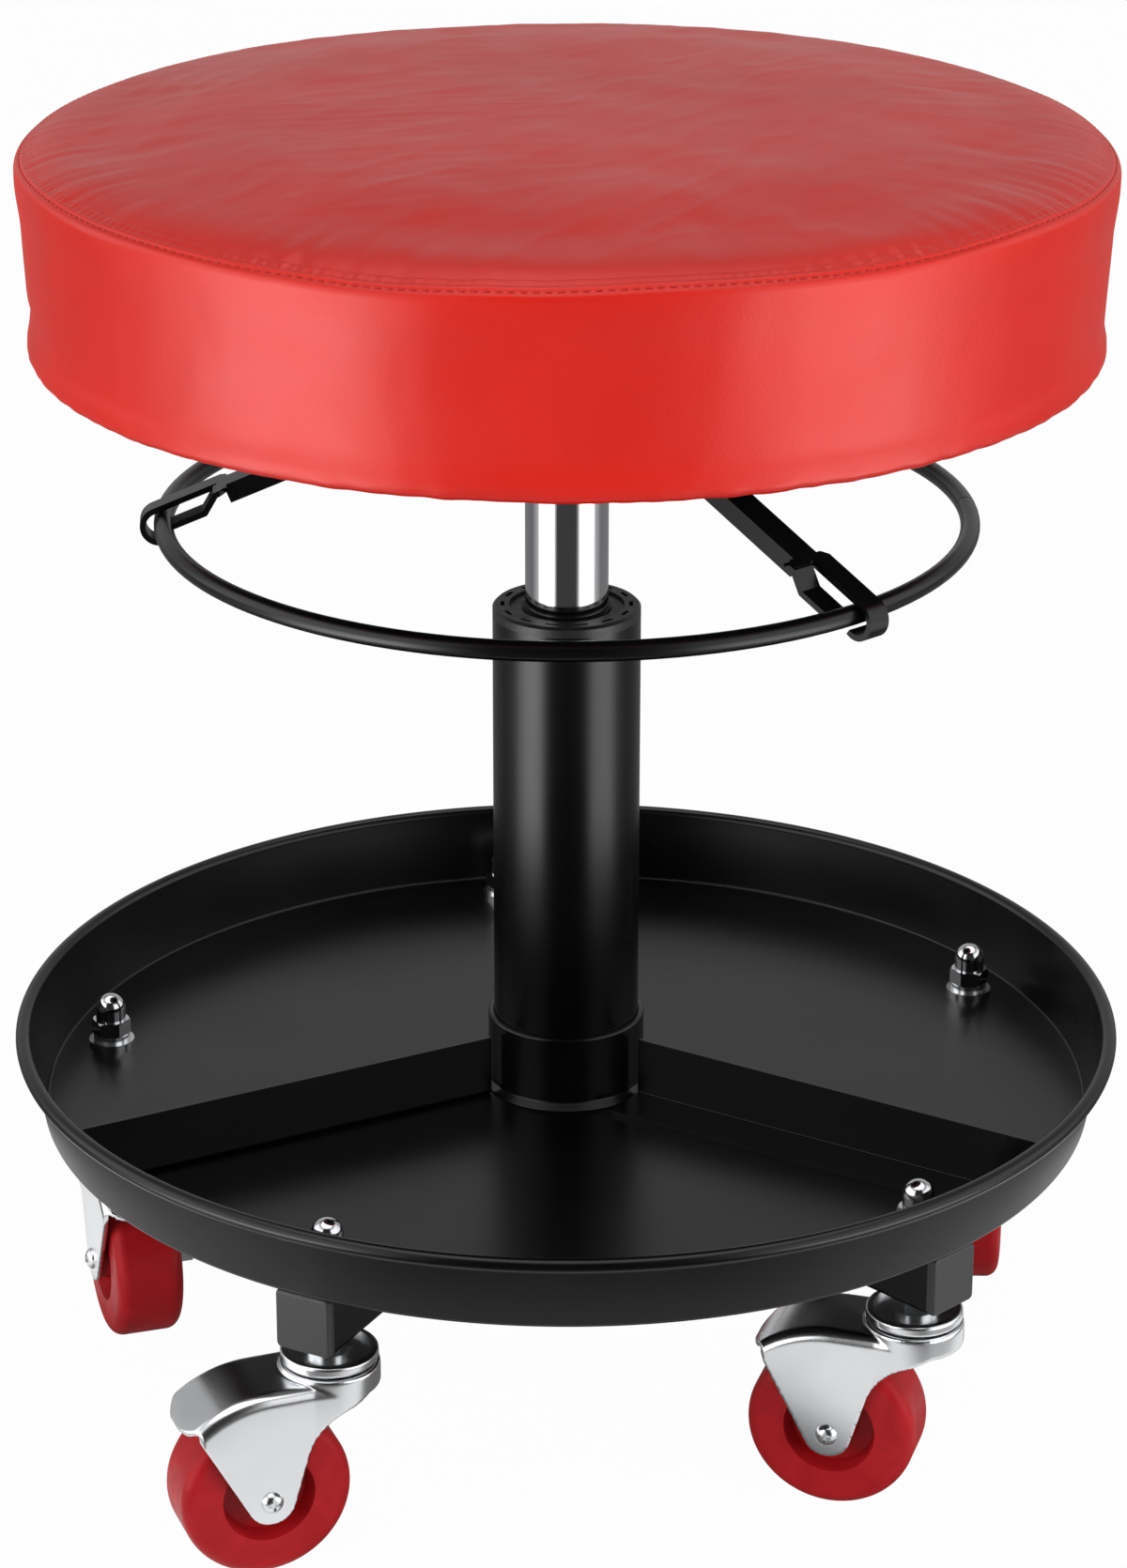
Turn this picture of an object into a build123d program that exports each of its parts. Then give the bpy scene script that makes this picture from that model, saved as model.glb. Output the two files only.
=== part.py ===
from build123d import *
import math
import os

# A mechanic's rolling stool: round padded seat on a gas lift, a ring lever under
# the seat, and a round tool tray on five legs with swivel casters.
# The origin lies on the floor under the column's axis, +Z is up, and the side
# that faces the viewer of the photograph is -Y. All lengths are millimetres.

os.makedirs("parts", exist_ok=True)

# General clearances
fit_gap = 0.02          # between pieces that are pressed or welded together
running_gap = 0.06      # on the radius, between a shaft and its bore
free_gap = 0.3          # between faces that pass each other
overrun = 6.0           # how far a cutting body passes what it cuts

# Casters, from the floor up
caster_height = 78.0
caster_trail = 25.0
wheel_diameter = 57.0
wheel_width = 24.0
wheel_edge_radius = 4.5
wheel_recess_radius = 15.5
wheel_recess_depth = 6.0
wheel_recess_slope = 1.6
wheel_hub_radius = 7.0
wheel_hub_gap = 0.5
bush_outer_radius = 4.6
axle_radius = 3.0
axle_head_radius = 3.8
axle_head_height = 2.2
axle_recess_width = 1.0
axle_recess_length = 4.2
axle_recess_depth = 1.2
axle_nut_flats = 10.0
axle_nut_height = 5.0
axle_thread_over = 1.5
fork_gauge = 2.0
fork_side_gap = 1.5
fork_eye_radius = 8.2
fork_cheek = 10.0
fork_shoulder_radius = 4.0
hood_top = 66.8
hood_tail = 53.0
hood_tail_height = 54.5
tongue_radius = 23.0
crown_radius = 16.5
crown_bottom = 60.5
crown_rim_top = 68.6
crown_edge_radius = 1.1
race_radius = 11.5
race_half_width = 2.5
race_floor = 66.0
ball_radius = 1.9
ball_count = 12
cup_radius = 16.0
cup_top = 73.0
cup_bottom = 69.2
cup_dish_radius = 13.6
cup_dish_depth = 1.6

# Kingpin through the leg and the tray, with its cap nut
pin_radius = 4.0
pin_head_radius = 7.5
pin_head_height = 2.6
pin_head_gap = 0.3
pin_collar_flats = 13.0
washer_radius = 8.0
washer_gauge = 1.6
spring_washer_radius = 6.4
spring_washer_gauge = 2.1
spring_washer_slit = 1.2
cap_nut_flats = 12.0
cap_nut_hex_height = 5.6
cap_nut_height = 15.0
cap_nut_dome_radius = 5.3
cap_nut_bore_depth = 11.0
cap_nut_thread_end = 9.8
corner_chamfer = 0.6

# Legs
leg_count = 5
leg_first_azimuth = 98.3
leg_height = 21.0
leg_width = 20.0
leg_wall = 1.5
leg_corner_radius = 2.0
leg_inset = 13.0         # from the tray's rim to the leg's end
bolt_inset = 13.5        # from the leg's end to its caster bolt
leg_cap_flange = 3.0
leg_cap_insert = 12.0
leg_cap_edge_radius = 1.2
trail_azimuths = (352.0, 288.0, 201.0, 163.0, 268.0)
axle_turns = (0.0, 180.0, 0.0, 0.0, 0.0)  # the side each axle bolt is put in from

# Tray
tray_gauge = 1.2
tray_diameter = 381.0
tray_flare = 12.0        # from the floor's edge out to the rim
tray_bend_radius = 3.4
tray_bead_radius = 2.6
tray_depth = 24.3
tray_bead_sweep = 300.0

# Dividers
divider_count = 3
divider_first_azimuth = 88.4
divider_height = 21.5
divider_foot = 19.0
divider_gauge = 1.5
divider_bend_radius = 1.8
divider_foot_inset = 12.5  # from the floor's edge
divider_wall_gap = 0.4

# Column and its socket
column_diameter = 50.0
column_wall = 2.0
column_rise = 175.3      # from the tray's floor to the top of the column
column_drop = 45.36      # below the gas cylinder at its lowest
column_taper = 0.5       # lost on the radius from the socket's top to the foot
column_lip = 3.0
column_lip_gauge = 2.0
socket_wall = 2.0
socket_rise = 26.3
socket_weld = 2.4
column_bush_flange = 3.6
column_bush_length = 65.0
column_bush_edge = 0.9
column_bush_dish_radius = 19.4
column_bush_dish_depth = 1.0
column_bush_mouth = 1.6
bush_slot_count = 14
bush_slot_radius = 21.6
bush_slot_length = 4.6
bush_slot_width = 1.3
bush_slot_depth = 1.0
end_plate_gauge = 3.0

# Gas lift
cylinder_diameter = 28.0
cylinder_wall = 1.5
cylinder_length = 190.0
cylinder_cone_length = 28.0
cylinder_cone_drop = 0.8
cylinder_lip_gauge = 1.3
cylinder_lip_bore = 8.0
rod_diameter = 10.0
rod_foot_radius = 4.0
rod_foot_length = 11.4
rod_groove_depth = 0.5
lift_up = 70.0           # travel from the photographed height
lift_down = 45.0
stop_gap = 2.0           # left at either end of the travel
piston_length = 14.0
piston_ring_width = 2.4
piston_ring_depth = 0.8
rod_guide_length = 20.0
valve_length = 20.8
valve_chamber_length = 6.0
valve_chamber_radius = 5.0
release_pin_radius = 3.0
release_pin_length = 21.5
release_pin_rise = 3.0
release_pin_foot_radius = 4.2
release_pin_foot = 1.6
clip_radius = 8.0
clip_gauge = 1.2
clip_gap = 0.2
bearing_radius = 10.5
bearing_washer_gauge = 1.5
bearing_ball_radius = 1.5
bearing_ball_circle = 7.4
bearing_ball_count = 12
buffer_radius = 11.0
buffer_gap = 1.0

# Seat
seat_diameter = 356.0
seat_gap = 91.5          # from the column's top to the cushion's underside
seat_foot_inset = 2.0    # the side draws in by this at the underside
seat_corner_radius = 4.0
seat_side_height = 57.0  # underside to where the top edge starts to turn in
seat_seam_height = 65.0
seat_seam_inset = 4.5
crown_shoulder = 15.0
crown_shoulder_rise = 9.6
crown_rise = 12.5
cover_gauge = 1.2
hem_width = 26.0
board_gauge = 12.0
board_inset = 7.0
dust_cover_gauge = 0.6
dust_cover_inset = 9.5   # from the board's edge
staple_count = 24
staple_inset = 4.0       # from the dust cover's edge
staple_length = 10.0
staple_gauge = 0.7
staple_leg = 4.0

# Seat plate, a pressed pan with a cone hub
plate_gauge = 2.0
plate_radius = 78.0
pan_radius = 40.0
pan_depth = 23.4
hub_radius = 18.0
hub_below_pan = 18.5
hub_above_pan = 8.0
plate_bolt_circle = 60.0
plate_bolt_count = 4
plate_bolt_first_azimuth = 22.0
plate_bolt_radius = 3.0
plate_bolt_flats = 10.0
plate_bolt_head = 4.0
tee_nut_radius = 4.2
tee_nut_flange_radius = 9.0
tee_nut_flange = 1.2
tee_nut_recess_gap = 0.3

# Ring lever
lever_ring_drop = 60.0   # ring centre below the cushion's underside
lever_ring_radius = 134.0
lever_rod_diameter = 6.5
lever_joint_azimuth = 4.0
lever_joint_gap = 0.5
lever_gauge = 2.0
lever_disc_radius = 21.0
lever_tongue_reach = 28.0
lever_tongue_width = 13.0
window_gap = 1.2         # round the tongues, in the pan's wall
lever_arm_width = 10.0
lever_flange_height = 6.5
lever_flange_start = 47.0
lever_slot_length = 17.5  # from its root to the ring's centre line
lever_blank_lead = 4.0   # of the wide end, before the slot's root
lever_flange_lap = 1.0   # of the flanges, under the wide end
lever_blank_width = 17.6
lever_slot_width = 1.6
lever_corner = 2.5
lever_hook_sweep = 196.0
lever_hook_slack = 1.35  # of the hook's bore round the rod
lever_hook_drop = 1.8    # of the hook's centre below the rod's
lever_step_length = 3.6  # of the lower lobe's step down from the web
lever_lobe_end = 1.6     # of the lower lobe, short of the ring's centre line
lever_azimuths = (67.5, 184.0, 311.5)
lever_hook_sides = (-1, -1, 1)

# Heights and radii that follow
wheel_radius = wheel_diameter / 2
leg_top = caster_height + leg_height
tray_floor = leg_top + tray_gauge
tray_radius = tray_diameter / 2
tray_floor_radius = tray_radius - tray_flare
divider_foot_reach = tray_floor_radius - divider_foot_inset
leg_reach = tray_radius - leg_inset
bolt_circle_radius = leg_reach - bolt_inset
bead_height = tray_floor + tray_depth
bead_circle = tray_radius - tray_bead_radius
column_radius = column_diameter / 2
column_top = tray_floor + column_rise
column_tube_top = column_top - column_bush_flange
column_bore_radius = column_radius - column_wall
socket_top = tray_floor + socket_rise
socket_radius = column_radius + fit_gap + socket_wall
cylinder_radius = cylinder_diameter / 2
rod_radius = rod_diameter / 2
seat_underside = column_top + seat_gap
seat_radius = seat_diameter / 2
board_bottom = seat_underside + cover_gauge
board_top = board_bottom + board_gauge
board_radius = seat_radius - seat_foot_inset - board_inset
dust_cover_radius = board_radius - dust_cover_inset
staple_circle = dust_cover_radius - staple_inset
plate_top = seat_underside - dust_cover_gauge
plate_bottom = plate_top - plate_gauge
pan_floor_top = plate_bottom - pan_depth + plate_gauge
pan_floor_bottom = pan_floor_top - plate_gauge
hub_top = pan_floor_top + hub_above_pan - plate_gauge
hub_bottom = pan_floor_bottom - hub_below_pan
cylinder_top = hub_top + running_gap + cylinder_lip_gauge
cylinder_bottom = cylinder_top - cylinder_length
column_bottom = cylinder_bottom - lift_down - column_drop
end_plate_bottom = column_bottom + column_lip_gauge
end_plate_top = end_plate_bottom + end_plate_gauge
rod_guide_bottom = cylinder_bottom + cylinder_lip_gauge
rod_guide_top = rod_guide_bottom + rod_guide_length
piston_bottom = rod_guide_top + lift_up + stop_gap
rod_top = piston_bottom + piston_length
release_pin_top = cylinder_top + release_pin_rise
lever_disc_bottom = release_pin_top + free_gap
ring_height = seat_underside - lever_ring_drop
lever_rod_radius = lever_rod_diameter / 2
lever_slot_start = lever_ring_radius - lever_slot_length
lever_blank_start = lever_slot_start - lever_blank_lead
lever_flange_end = lever_blank_start + lever_flange_lap
lever_hook_radius = lever_rod_radius + lever_hook_slack
hook_centre = (lever_ring_radius + lever_hook_slack, ring_height - lever_hook_drop)
fork_inside = wheel_width + 2 * fork_side_gap
fork_outside = fork_inside + 2 * fork_gauge


def flat(points):
    """A face with straight sides through the points."""
    return make_face(Polyline(*points, close=True))


def turned(face):
    """A body turned about the upright axis, from a face drawn as radius and height."""
    return revolve(Plane.XZ * face, Axis.Z)


def ring(inner, outer, low, high):
    """A plain round ring, or a disc where the inner radius is zero."""
    return turned(flat([(inner, low), (outer, low), (outer, high), (inner, high)]))


def hexagon(flats, low, high):
    """A six-sided bar, measured across its flats."""
    side = RegularPolygon(flats / 2, 6, major_radius=False)
    return Pos(0, 0, low) * extrude(side, high - low)


def block(low, high):
    """A box between two opposite corners."""
    size = [b - a for a, b in zip(low, high)]
    middle = [(a + b) / 2 for a, b in zip(low, high)]
    return Pos(*middle) * Box(*size)


def polar(radius, azimuth, height=0.0):
    """A place given by its radius and its azimuth in degrees."""
    angle = math.radians(azimuth)
    return Pos(radius * math.cos(angle), radius * math.sin(angle), height)


def around(shape, count, first=0.0):
    """Copies of a shape, evenly spaced about the upright axis."""
    return [Rot(0, 0, first + turn * 360 / count) * shape for turn in range(count)]


def sector(centre, inner, outer, start, sweep):
    """Part of a flat ring."""
    far = CenterArc(centre, outer, start, sweep)
    near = CenterArc(centre, inner, start, sweep)
    return make_face(far + near + Line(far @ 0, near @ 0) + Line(far @ 1, near @ 1))


def tangent_point(centre, radius, target, side):
    """Where a line from the target touches a circle, on the side named by the sign."""
    dx, dy = target[0] - centre[0], target[1] - centre[1]
    angle = math.atan2(dy, dx) + side * math.acos(radius / math.hypot(dx, dy))
    return (centre[0] + radius * math.cos(angle), centre[1] + radius * math.sin(angle))


def keep(name, *solids):
    """Write one node, from one solid or a group of separate ones."""
    shape = solids[0] if len(solids) == 1 else Compound(list(solids))
    export_step(shape, f"parts/{name}.step")


def leg_azimuth(index):
    return leg_first_azimuth + index * 360 / leg_count


def at_stem(shape, index):
    """A caster piece moved under its leg, without turning it."""
    return polar(bolt_circle_radius, leg_azimuth(index)) * shape


def at_caster(shape, index):
    """A caster piece under its leg, with its trail turned as in the photograph."""
    turn = Rot(0, 0, trail_azimuths[index] - 180)
    return polar(bolt_circle_radius, leg_azimuth(index)) * turn * shape


def at_axle(shape, index):
    """An axle bolt or its nut in its caster, from the side it is put in."""
    turn = Rot(0, 0, axle_turns[index])
    return at_caster(Pos(-caster_trail, 0, 0) * turn * Pos(caster_trail, 0, 0) * shape, index)


# Casters
def on_axle(shape):
    """Lay a piece that was turned upright onto the wheel's axle."""
    return Pos(-caster_trail, 0, wheel_radius) * Rot(90, 0, 0) * shape


def wheel():
    half = wheel_width / 2
    hub_half = fork_inside / 2 - wheel_hub_gap
    floor = half - wheel_recess_depth
    bore = bush_outer_radius + fit_gap
    foot = wheel_recess_radius - wheel_recess_slope
    side = [
        (wheel_radius, half), (wheel_recess_radius, half), (foot, floor),
        (wheel_hub_radius + wheel_recess_slope, floor), (wheel_hub_radius, hub_half), (bore, hub_half),
    ]
    other = [(radius, -height) for radius, height in reversed(side)]
    face = flat(side + other)
    face = fillet(face.vertices().group_by(Axis.X)[-1], wheel_edge_radius)
    return on_axle(turned(face))


def wheel_bush():
    half = fork_inside / 2 - free_gap / 2
    return on_axle(ring(axle_radius + running_gap, bush_outer_radius, -half, half))


def axle():
    """The axle bolt, its head on the -Y side, and its nut."""
    side = fork_outside / 2
    top = side + axle_head_height
    dome = ThreePointArc(
        (axle_head_radius, side), (axle_head_radius * 0.72, side + axle_head_height * 0.72), (0, top)
    )
    end = -side - axle_nut_height - axle_thread_over
    rest = Polyline(
        (0, top), (0, end), (axle_radius, end), (axle_radius, side), (axle_head_radius, side)
    )
    bolt = turned(make_face(dome + rest))
    for angle in (0, 90):
        slot = Box(axle_recess_length, axle_recess_width, 2 * axle_recess_depth)
        bolt -= Pos(0, 0, top) * Rot(0, 0, angle) * slot
    nut = hexagon(axle_nut_flats, -side - axle_nut_height, -side)
    nut -= ring(0, axle_radius + fit_gap, -side - axle_nut_height, -side)
    return on_axle(bolt), on_axle(nut)


def fork_outline():
    """The side view of the fork, as X along the trail and Z."""
    eye = (-caster_trail, wheel_radius)
    tail = (-hood_tail, hood_tail_height)
    corner_share = (1.94, 0.705)
    brow_share = (1.68, 0.937)
    crest_share = 0.96
    throat_shares = ((0.48, 0.56), (0.31, 0.655), (-0.12, 0.744), (-0.36, 0.78))
    corner = (-caster_trail * corner_share[0], caster_height * corner_share[1])
    brow = (-caster_trail * brow_share[0], hood_top * brow_share[1])
    crest = (-caster_trail * crest_share, hood_top)
    throat = [(-caster_trail * x, caster_height * z) for x, z in throat_shares]
    rear = tangent_point(eye, fork_eye_radius, corner, 1)
    front = tangent_point(eye, fork_eye_radius, throat[0], -1)
    curve = Polyline(rear, corner, tail) + ThreePointArc(tail, brow, crest)
    curve += Polyline(crest, (0, hood_top), (throat[3][0], hood_top), throat[3], throat[2])
    curve += ThreePointArc(throat[2], throat[1], throat[0]) + Polyline(throat[0], front, rear)
    return make_face(curve) + Pos(*eye) * Circle(fork_eye_radius)


def fork_plan(inset):
    """The fork seen from above: crown circle, flared cheeks, hood and round tongue."""
    half = fork_outside / 2 - inset
    radius = crown_radius - inset
    neck = tongue_radius - hood_tail
    cheek = (-fork_cheek, half)
    touch = tangent_point((0.0, 0.0), radius, cheek, -1)
    upper = [(neck, half), cheek, touch]
    lower = [(x, -y) for x, y in reversed(upper)]
    tongue = Pos(neck, 0) * (Circle(tongue_radius) & Rectangle(2 * tongue_radius, 2 * half))
    return flat(upper + lower) + Circle(radius) + tongue


def fork():
    """The pressed fork: side plates, hood with a round tongue, and crown."""
    body = extrude(Plane.XZ * fork_outline(), crown_radius, both=True)
    body &= extrude(fork_plan(0.0), caster_height)
    side = fork_outside / 2 - fork_gauge / 2
    level = (crown_bottom + hood_top) / 2
    middles = [(edge, edge @ 0.5) for edge in body.edges()]
    shoulders = [edge for edge, middle in middles if abs(middle.Y) > side and middle.Z > level]
    body = fillet(shoulders, fork_shoulder_radius)
    body += fillet(ring(0, crown_radius, crown_bottom, crown_rim_top).edges(), crown_edge_radius)
    under = Pos(0, -fork_gauge) * fork_outline()
    below = Pos(-caster_trail, 0) * Rectangle(2 * caster_trail, 2 * wheel_radius)
    inner = extrude(Plane.XZ * (under + below), crown_radius, both=True)
    lip = hood_tail_height - fork_gauge
    inner += block((-2 * hood_tail, -crown_radius, 0), (-caster_trail, crown_radius, lip))
    channel = fork_plan(fork_gauge) + Pos(-hood_tail, 0) * Rectangle(2 * hood_tail, fork_inside)
    inner &= extrude(channel, hood_top - fork_gauge)
    body -= inner
    body -= ring(0, crown_radius - fork_gauge, 0, race_floor - fork_gauge)
    inside = race_radius - race_half_width
    outside = race_radius + race_half_width
    body -= ring(inside, outside, race_floor, caster_height)
    body -= ring(0, outside, hood_top, caster_height)
    body -= ring(0, pin_radius + running_gap, 0, caster_height)
    eye = ring(0, axle_radius + fit_gap, -fork_outside, fork_outside)
    return body - on_axle(eye)


def caster_cup():
    """The upper race, a shallow dish fixed to the kingpin."""
    inside = race_radius - race_half_width
    outside = race_radius + race_half_width
    roof = race_floor + 2 * ball_radius + 2 * running_gap
    body = ring(0, cup_radius, cup_bottom, cup_top)
    body = fillet(body.edges(), crown_edge_radius)
    body -= ring(inside, outside, 0, roof)
    collar_corner = pin_collar_flats / math.sqrt(3)
    body -= ring(collar_corner + free_gap, cup_dish_radius, cup_top - cup_dish_depth, leg_top)
    return body - ring(0, pin_radius + fit_gap, 0, leg_top)


def caster_balls():
    height = race_floor + ball_radius + running_gap
    return around(polar(race_radius, 0, height) * Sphere(ball_radius), ball_count)


def kingpin():
    """Rivet head, shank and hexagon collar in one piece."""
    head_top = race_floor - fork_gauge - pin_head_gap
    end = tray_floor + washer_gauge + spring_washer_gauge + cap_nut_thread_end
    body = ring(0, pin_head_radius, head_top - pin_head_height, head_top)
    body += ring(0, pin_radius, head_top, end)
    return body + hexagon(pin_collar_flats, cup_top + fit_gap, caster_height)


def nut_stack():
    """Washer, split spring washer and cap nut on the tray's floor."""
    bore = pin_radius + fit_gap
    spring_base = tray_floor + washer_gauge
    nut_base = spring_base + spring_washer_gauge
    washer = ring(bore, washer_radius, tray_floor, spring_base)
    spring = ring(bore, spring_washer_radius, spring_base, nut_base)
    slit_half = spring_washer_slit / 2
    spring -= block((0, -slit_half, spring_base), (spring_washer_radius, slit_half, nut_base))
    hex_top = nut_base + cap_nut_hex_height
    top = nut_base + cap_nut_height
    nut = hexagon(cap_nut_flats, nut_base, hex_top)
    corner = cap_nut_flats / math.sqrt(3)
    nut &= turned(flat([
        (0, nut_base), (corner - corner_chamfer, nut_base), (corner, nut_base + corner_chamfer),
        (corner, hex_top - corner_chamfer), (corner - corner_chamfer, hex_top), (0, hex_top),
    ]))
    shoulder = top - cap_nut_dome_radius
    nut += ring(0, cap_nut_dome_radius, hex_top, shoulder)
    nut += Pos(0, 0, shoulder) * Sphere(cap_nut_dome_radius) & block(
        (-washer_radius, -washer_radius, shoulder), (washer_radius, washer_radius, top)
    )
    nut -= ring(0, bore, nut_base, nut_base + cap_nut_bore_depth)
    return washer, spring, nut


# Base
def column_outer(height):
    """The column's outer radius, which tapers inside its socket."""
    share = (socket_top - height) / (socket_top - column_bottom)
    return column_radius - column_taper * max(0.0, share)


def leg_section(width, height, corner):
    return RectangleRounded(width, height, corner)


def along_leg(section, start, end):
    """A bar along +X under the tray, from its section."""
    middle = caster_height + leg_height / 2
    return Pos(start, 0, middle) * extrude(Plane.YZ * section, end - start)


def leg():
    outer = leg_section(leg_width, leg_height, leg_corner_radius)
    hollow = leg_section(leg_width - 2 * leg_wall, leg_height - 2 * leg_wall, leg_corner_radius - leg_wall)
    body = along_leg(outer - hollow, 0, leg_reach)
    body -= ring(0, socket_radius + fit_gap, 0, tray_floor)
    hole = ring(0, pin_radius + fit_gap, 0, tray_floor)
    return body - Pos(bolt_circle_radius, 0, 0) * hole


def leg_cap():
    flange = along_leg(
        leg_section(leg_width, leg_height, leg_corner_radius), leg_reach, leg_reach + leg_cap_flange
    )
    flange = fillet(flange.faces().sort_by(Axis.X)[-1].edges(), leg_cap_edge_radius)
    wide = leg_width - 2 * leg_wall - 2 * fit_gap
    tall = leg_height - 2 * leg_wall - 2 * fit_gap
    insert_end = leg_reach - leg_cap_insert
    insert = along_leg(leg_section(wide, tall, leg_corner_radius - leg_wall), insert_end, leg_reach)
    hole = ring(0, pin_radius + free_gap, 0, tray_floor)
    return flange + insert - Pos(bolt_circle_radius, 0, 0) * hole


def tray_wall_line(inset):
    """The inner side of the wall as two points, moved inwards by the inset."""
    low_radius = tray_floor_radius + tray_bend_radius - tray_gauge
    high_radius = bead_circle - tray_bead_radius
    low = (low_radius - inset, tray_floor - tray_gauge + tray_bend_radius)
    return low, (high_radius - inset, bead_height)


def tray():
    bend_centre = (tray_floor_radius, leg_top + tray_bend_radius)
    low, high = tray_wall_line(0.0)
    floor = flat([
        (socket_radius + fit_gap, leg_top), (tray_floor_radius, leg_top),
        (tray_floor_radius, tray_floor), (socket_radius + fit_gap, tray_floor),
    ])
    bend = sector(bend_centre, tray_bend_radius - tray_gauge, tray_bend_radius, -90, 90)
    wall = flat([low, (low[0] + tray_gauge, low[1]), (high[0] + tray_gauge, high[1]), high])
    curl_centre = (bead_circle, bead_height)
    curl_start = 180 - tray_bead_sweep
    curl_inner = tray_bead_radius - tray_gauge
    curl = sector(curl_centre, curl_inner, tray_bead_radius, curl_start, tray_bead_sweep)
    body = turned(floor + bend + wall + curl)
    hole = Pos(bolt_circle_radius, 0, 0) * ring(0, pin_radius + free_gap, caster_height, bead_height)
    for cut in around(hole, leg_count, leg_first_azimuth):
        body -= cut
    return body


def divider():
    """An angle section along +X, its foot on the clockwise side."""
    top = tray_floor + divider_height
    half = divider_gauge / 2
    start = socket_radius + socket_weld + free_gap
    upright_low = tray_floor + divider_bend_radius
    upright = flat([(-half, upright_low), (half, upright_low), (half, top), (-half, top)])
    bend_centre = (half - divider_bend_radius, upright_low)
    bend = sector(bend_centre, divider_bend_radius - divider_gauge, divider_bend_radius, -90, 90)
    foot = flat([
        (half - divider_bend_radius, tray_floor), (half - divider_bend_radius, tray_floor + divider_gauge),
        (half - divider_foot, tray_floor + divider_gauge), (half - divider_foot, tray_floor),
    ])
    wall = Pos(start, 0, 0) * extrude(Plane.YZ * (upright + bend), tray_radius - start)
    flange = Pos(start, 0, 0) * extrude(Plane.YZ * foot, divider_foot_reach - start)
    low, high = tray_wall_line(divider_wall_gap)
    inside = turned(flat([
        (0, tray_floor), (tray_floor_radius - divider_wall_gap, tray_floor), low, high, (0, high[1]),
    ]))
    return wall + flange & inside


def column_tube():
    top = column_tube_top
    inner = column_bore_radius
    lip_bore = inner - column_lip
    return turned(flat([
        (column_outer(column_bottom), column_bottom), (column_outer(socket_top), socket_top),
        (column_radius, top), (inner, top), (inner, end_plate_bottom),
        (lip_bore, end_plate_bottom), (lip_bore, column_bottom),
    ]))


def column_socket():
    """The welded socket with the fillet weld on the tray's floor."""
    inner_low = column_outer(caster_height) + fit_gap
    inner_high = column_radius + fit_gap
    return turned(flat([
        (inner_low, caster_height), (socket_radius, caster_height), (socket_radius, tray_floor + fit_gap),
        (socket_radius + socket_weld, tray_floor + fit_gap), (socket_radius, tray_floor + socket_weld),
        (socket_radius, socket_top - corner_chamfer), (socket_radius - corner_chamfer, socket_top),
        (inner_high, socket_top),
    ]))


def column_bush():
    """The guide bush: flange with a ring of slots, and a long sleeve in the column."""
    bore = cylinder_radius + running_gap
    sleeve = column_bore_radius - fit_gap
    body = turned(flat([
        (bore, column_top - column_bush_length), (sleeve, column_top - column_bush_length),
        (sleeve, column_tube_top), (column_radius, column_tube_top),
        (column_radius, column_top - column_bush_edge), (column_radius - column_bush_edge, column_top),
        (column_bush_dish_radius, column_top), (column_bush_dish_radius, column_top - column_bush_dish_depth),
        (bore + column_bush_mouth, column_top - column_bush_dish_depth),
        (bore, column_top - column_bush_dish_depth - column_bush_mouth),
    ]))
    slot = Pos(bush_slot_radius, 0, column_top) * Box(bush_slot_width, bush_slot_length, 2 * bush_slot_depth)
    for cut in around(slot, bush_slot_count):
        body -= cut
    return body


def column_end_plate():
    return ring(rod_foot_radius + free_gap, column_bore_radius - fit_gap, end_plate_bottom, end_plate_top)


# Gas lift
def cylinder_outer(height):
    """The cylinder's outer radius, which narrows in the cone at its top."""
    share = (height - (cylinder_top - cylinder_cone_length)) / cylinder_cone_length
    return cylinder_radius - cylinder_cone_drop * max(0.0, share)


def gas_cylinder():
    bore = cylinder_radius - cylinder_wall
    bore_top = cylinder_outer(cylinder_top) - cylinder_wall
    roof = cylinder_top - cylinder_lip_gauge
    floor = rod_guide_bottom
    cone_start = cylinder_top - cylinder_cone_length
    return turned(flat([
        (cylinder_lip_bore, cylinder_bottom), (cylinder_radius, cylinder_bottom),
        (cylinder_radius, cone_start), (cylinder_outer(cylinder_top), cylinder_top),
        (cylinder_lip_bore, cylinder_top), (cylinder_lip_bore, roof), (bore_top, roof),
        (bore_top, cone_start), (bore, cone_start - cylinder_wall), (bore, floor),
        (cylinder_lip_bore, floor),
    ]))


def valve_block():
    top = cylinder_top - cylinder_lip_gauge
    body = ring(0, cylinder_outer(cylinder_top) - cylinder_wall - fit_gap, top - valve_length, top)
    body -= ring(0, release_pin_radius + running_gap, 0, top)
    return body - ring(0, valve_chamber_radius, 0, top - valve_length + valve_chamber_length)


def release_pin():
    low = release_pin_top - release_pin_length
    body = ring(0, release_pin_radius, low, release_pin_top)
    body = fillet(body.edges().sort_by(Axis.Z)[-1], corner_chamfer)
    return body + ring(0, release_pin_foot_radius, low - release_pin_foot, low)


def rod_guide():
    outer = cylinder_radius - cylinder_wall - fit_gap
    return ring(rod_radius + running_gap, outer, rod_guide_bottom, rod_guide_top)


def bearing_heights():
    """Heights of the thrust bearing's lower washer, balls, upper washer and top."""
    low = end_plate_top + running_gap
    balls = low + bearing_washer_gauge
    high = balls + 2 * bearing_ball_radius + running_gap
    return low, balls, high, high + bearing_washer_gauge


def piston_rod():
    shoulder = bearing_heights()[3] + fit_gap
    foot = shoulder - rod_foot_length
    groove_top = end_plate_bottom - clip_gap
    groove_low = groove_top - clip_gauge
    waist = rod_foot_radius - rod_groove_depth
    return turned(flat([
        (0, foot), (rod_foot_radius, foot), (rod_foot_radius, groove_low), (waist, groove_low),
        (waist, groove_top), (rod_foot_radius, groove_top), (rod_foot_radius, shoulder),
        (rod_radius, shoulder), (rod_radius, piston_bottom), (rod_foot_radius, piston_bottom),
        (rod_foot_radius, rod_top), (0, rod_top),
    ]))


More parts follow.
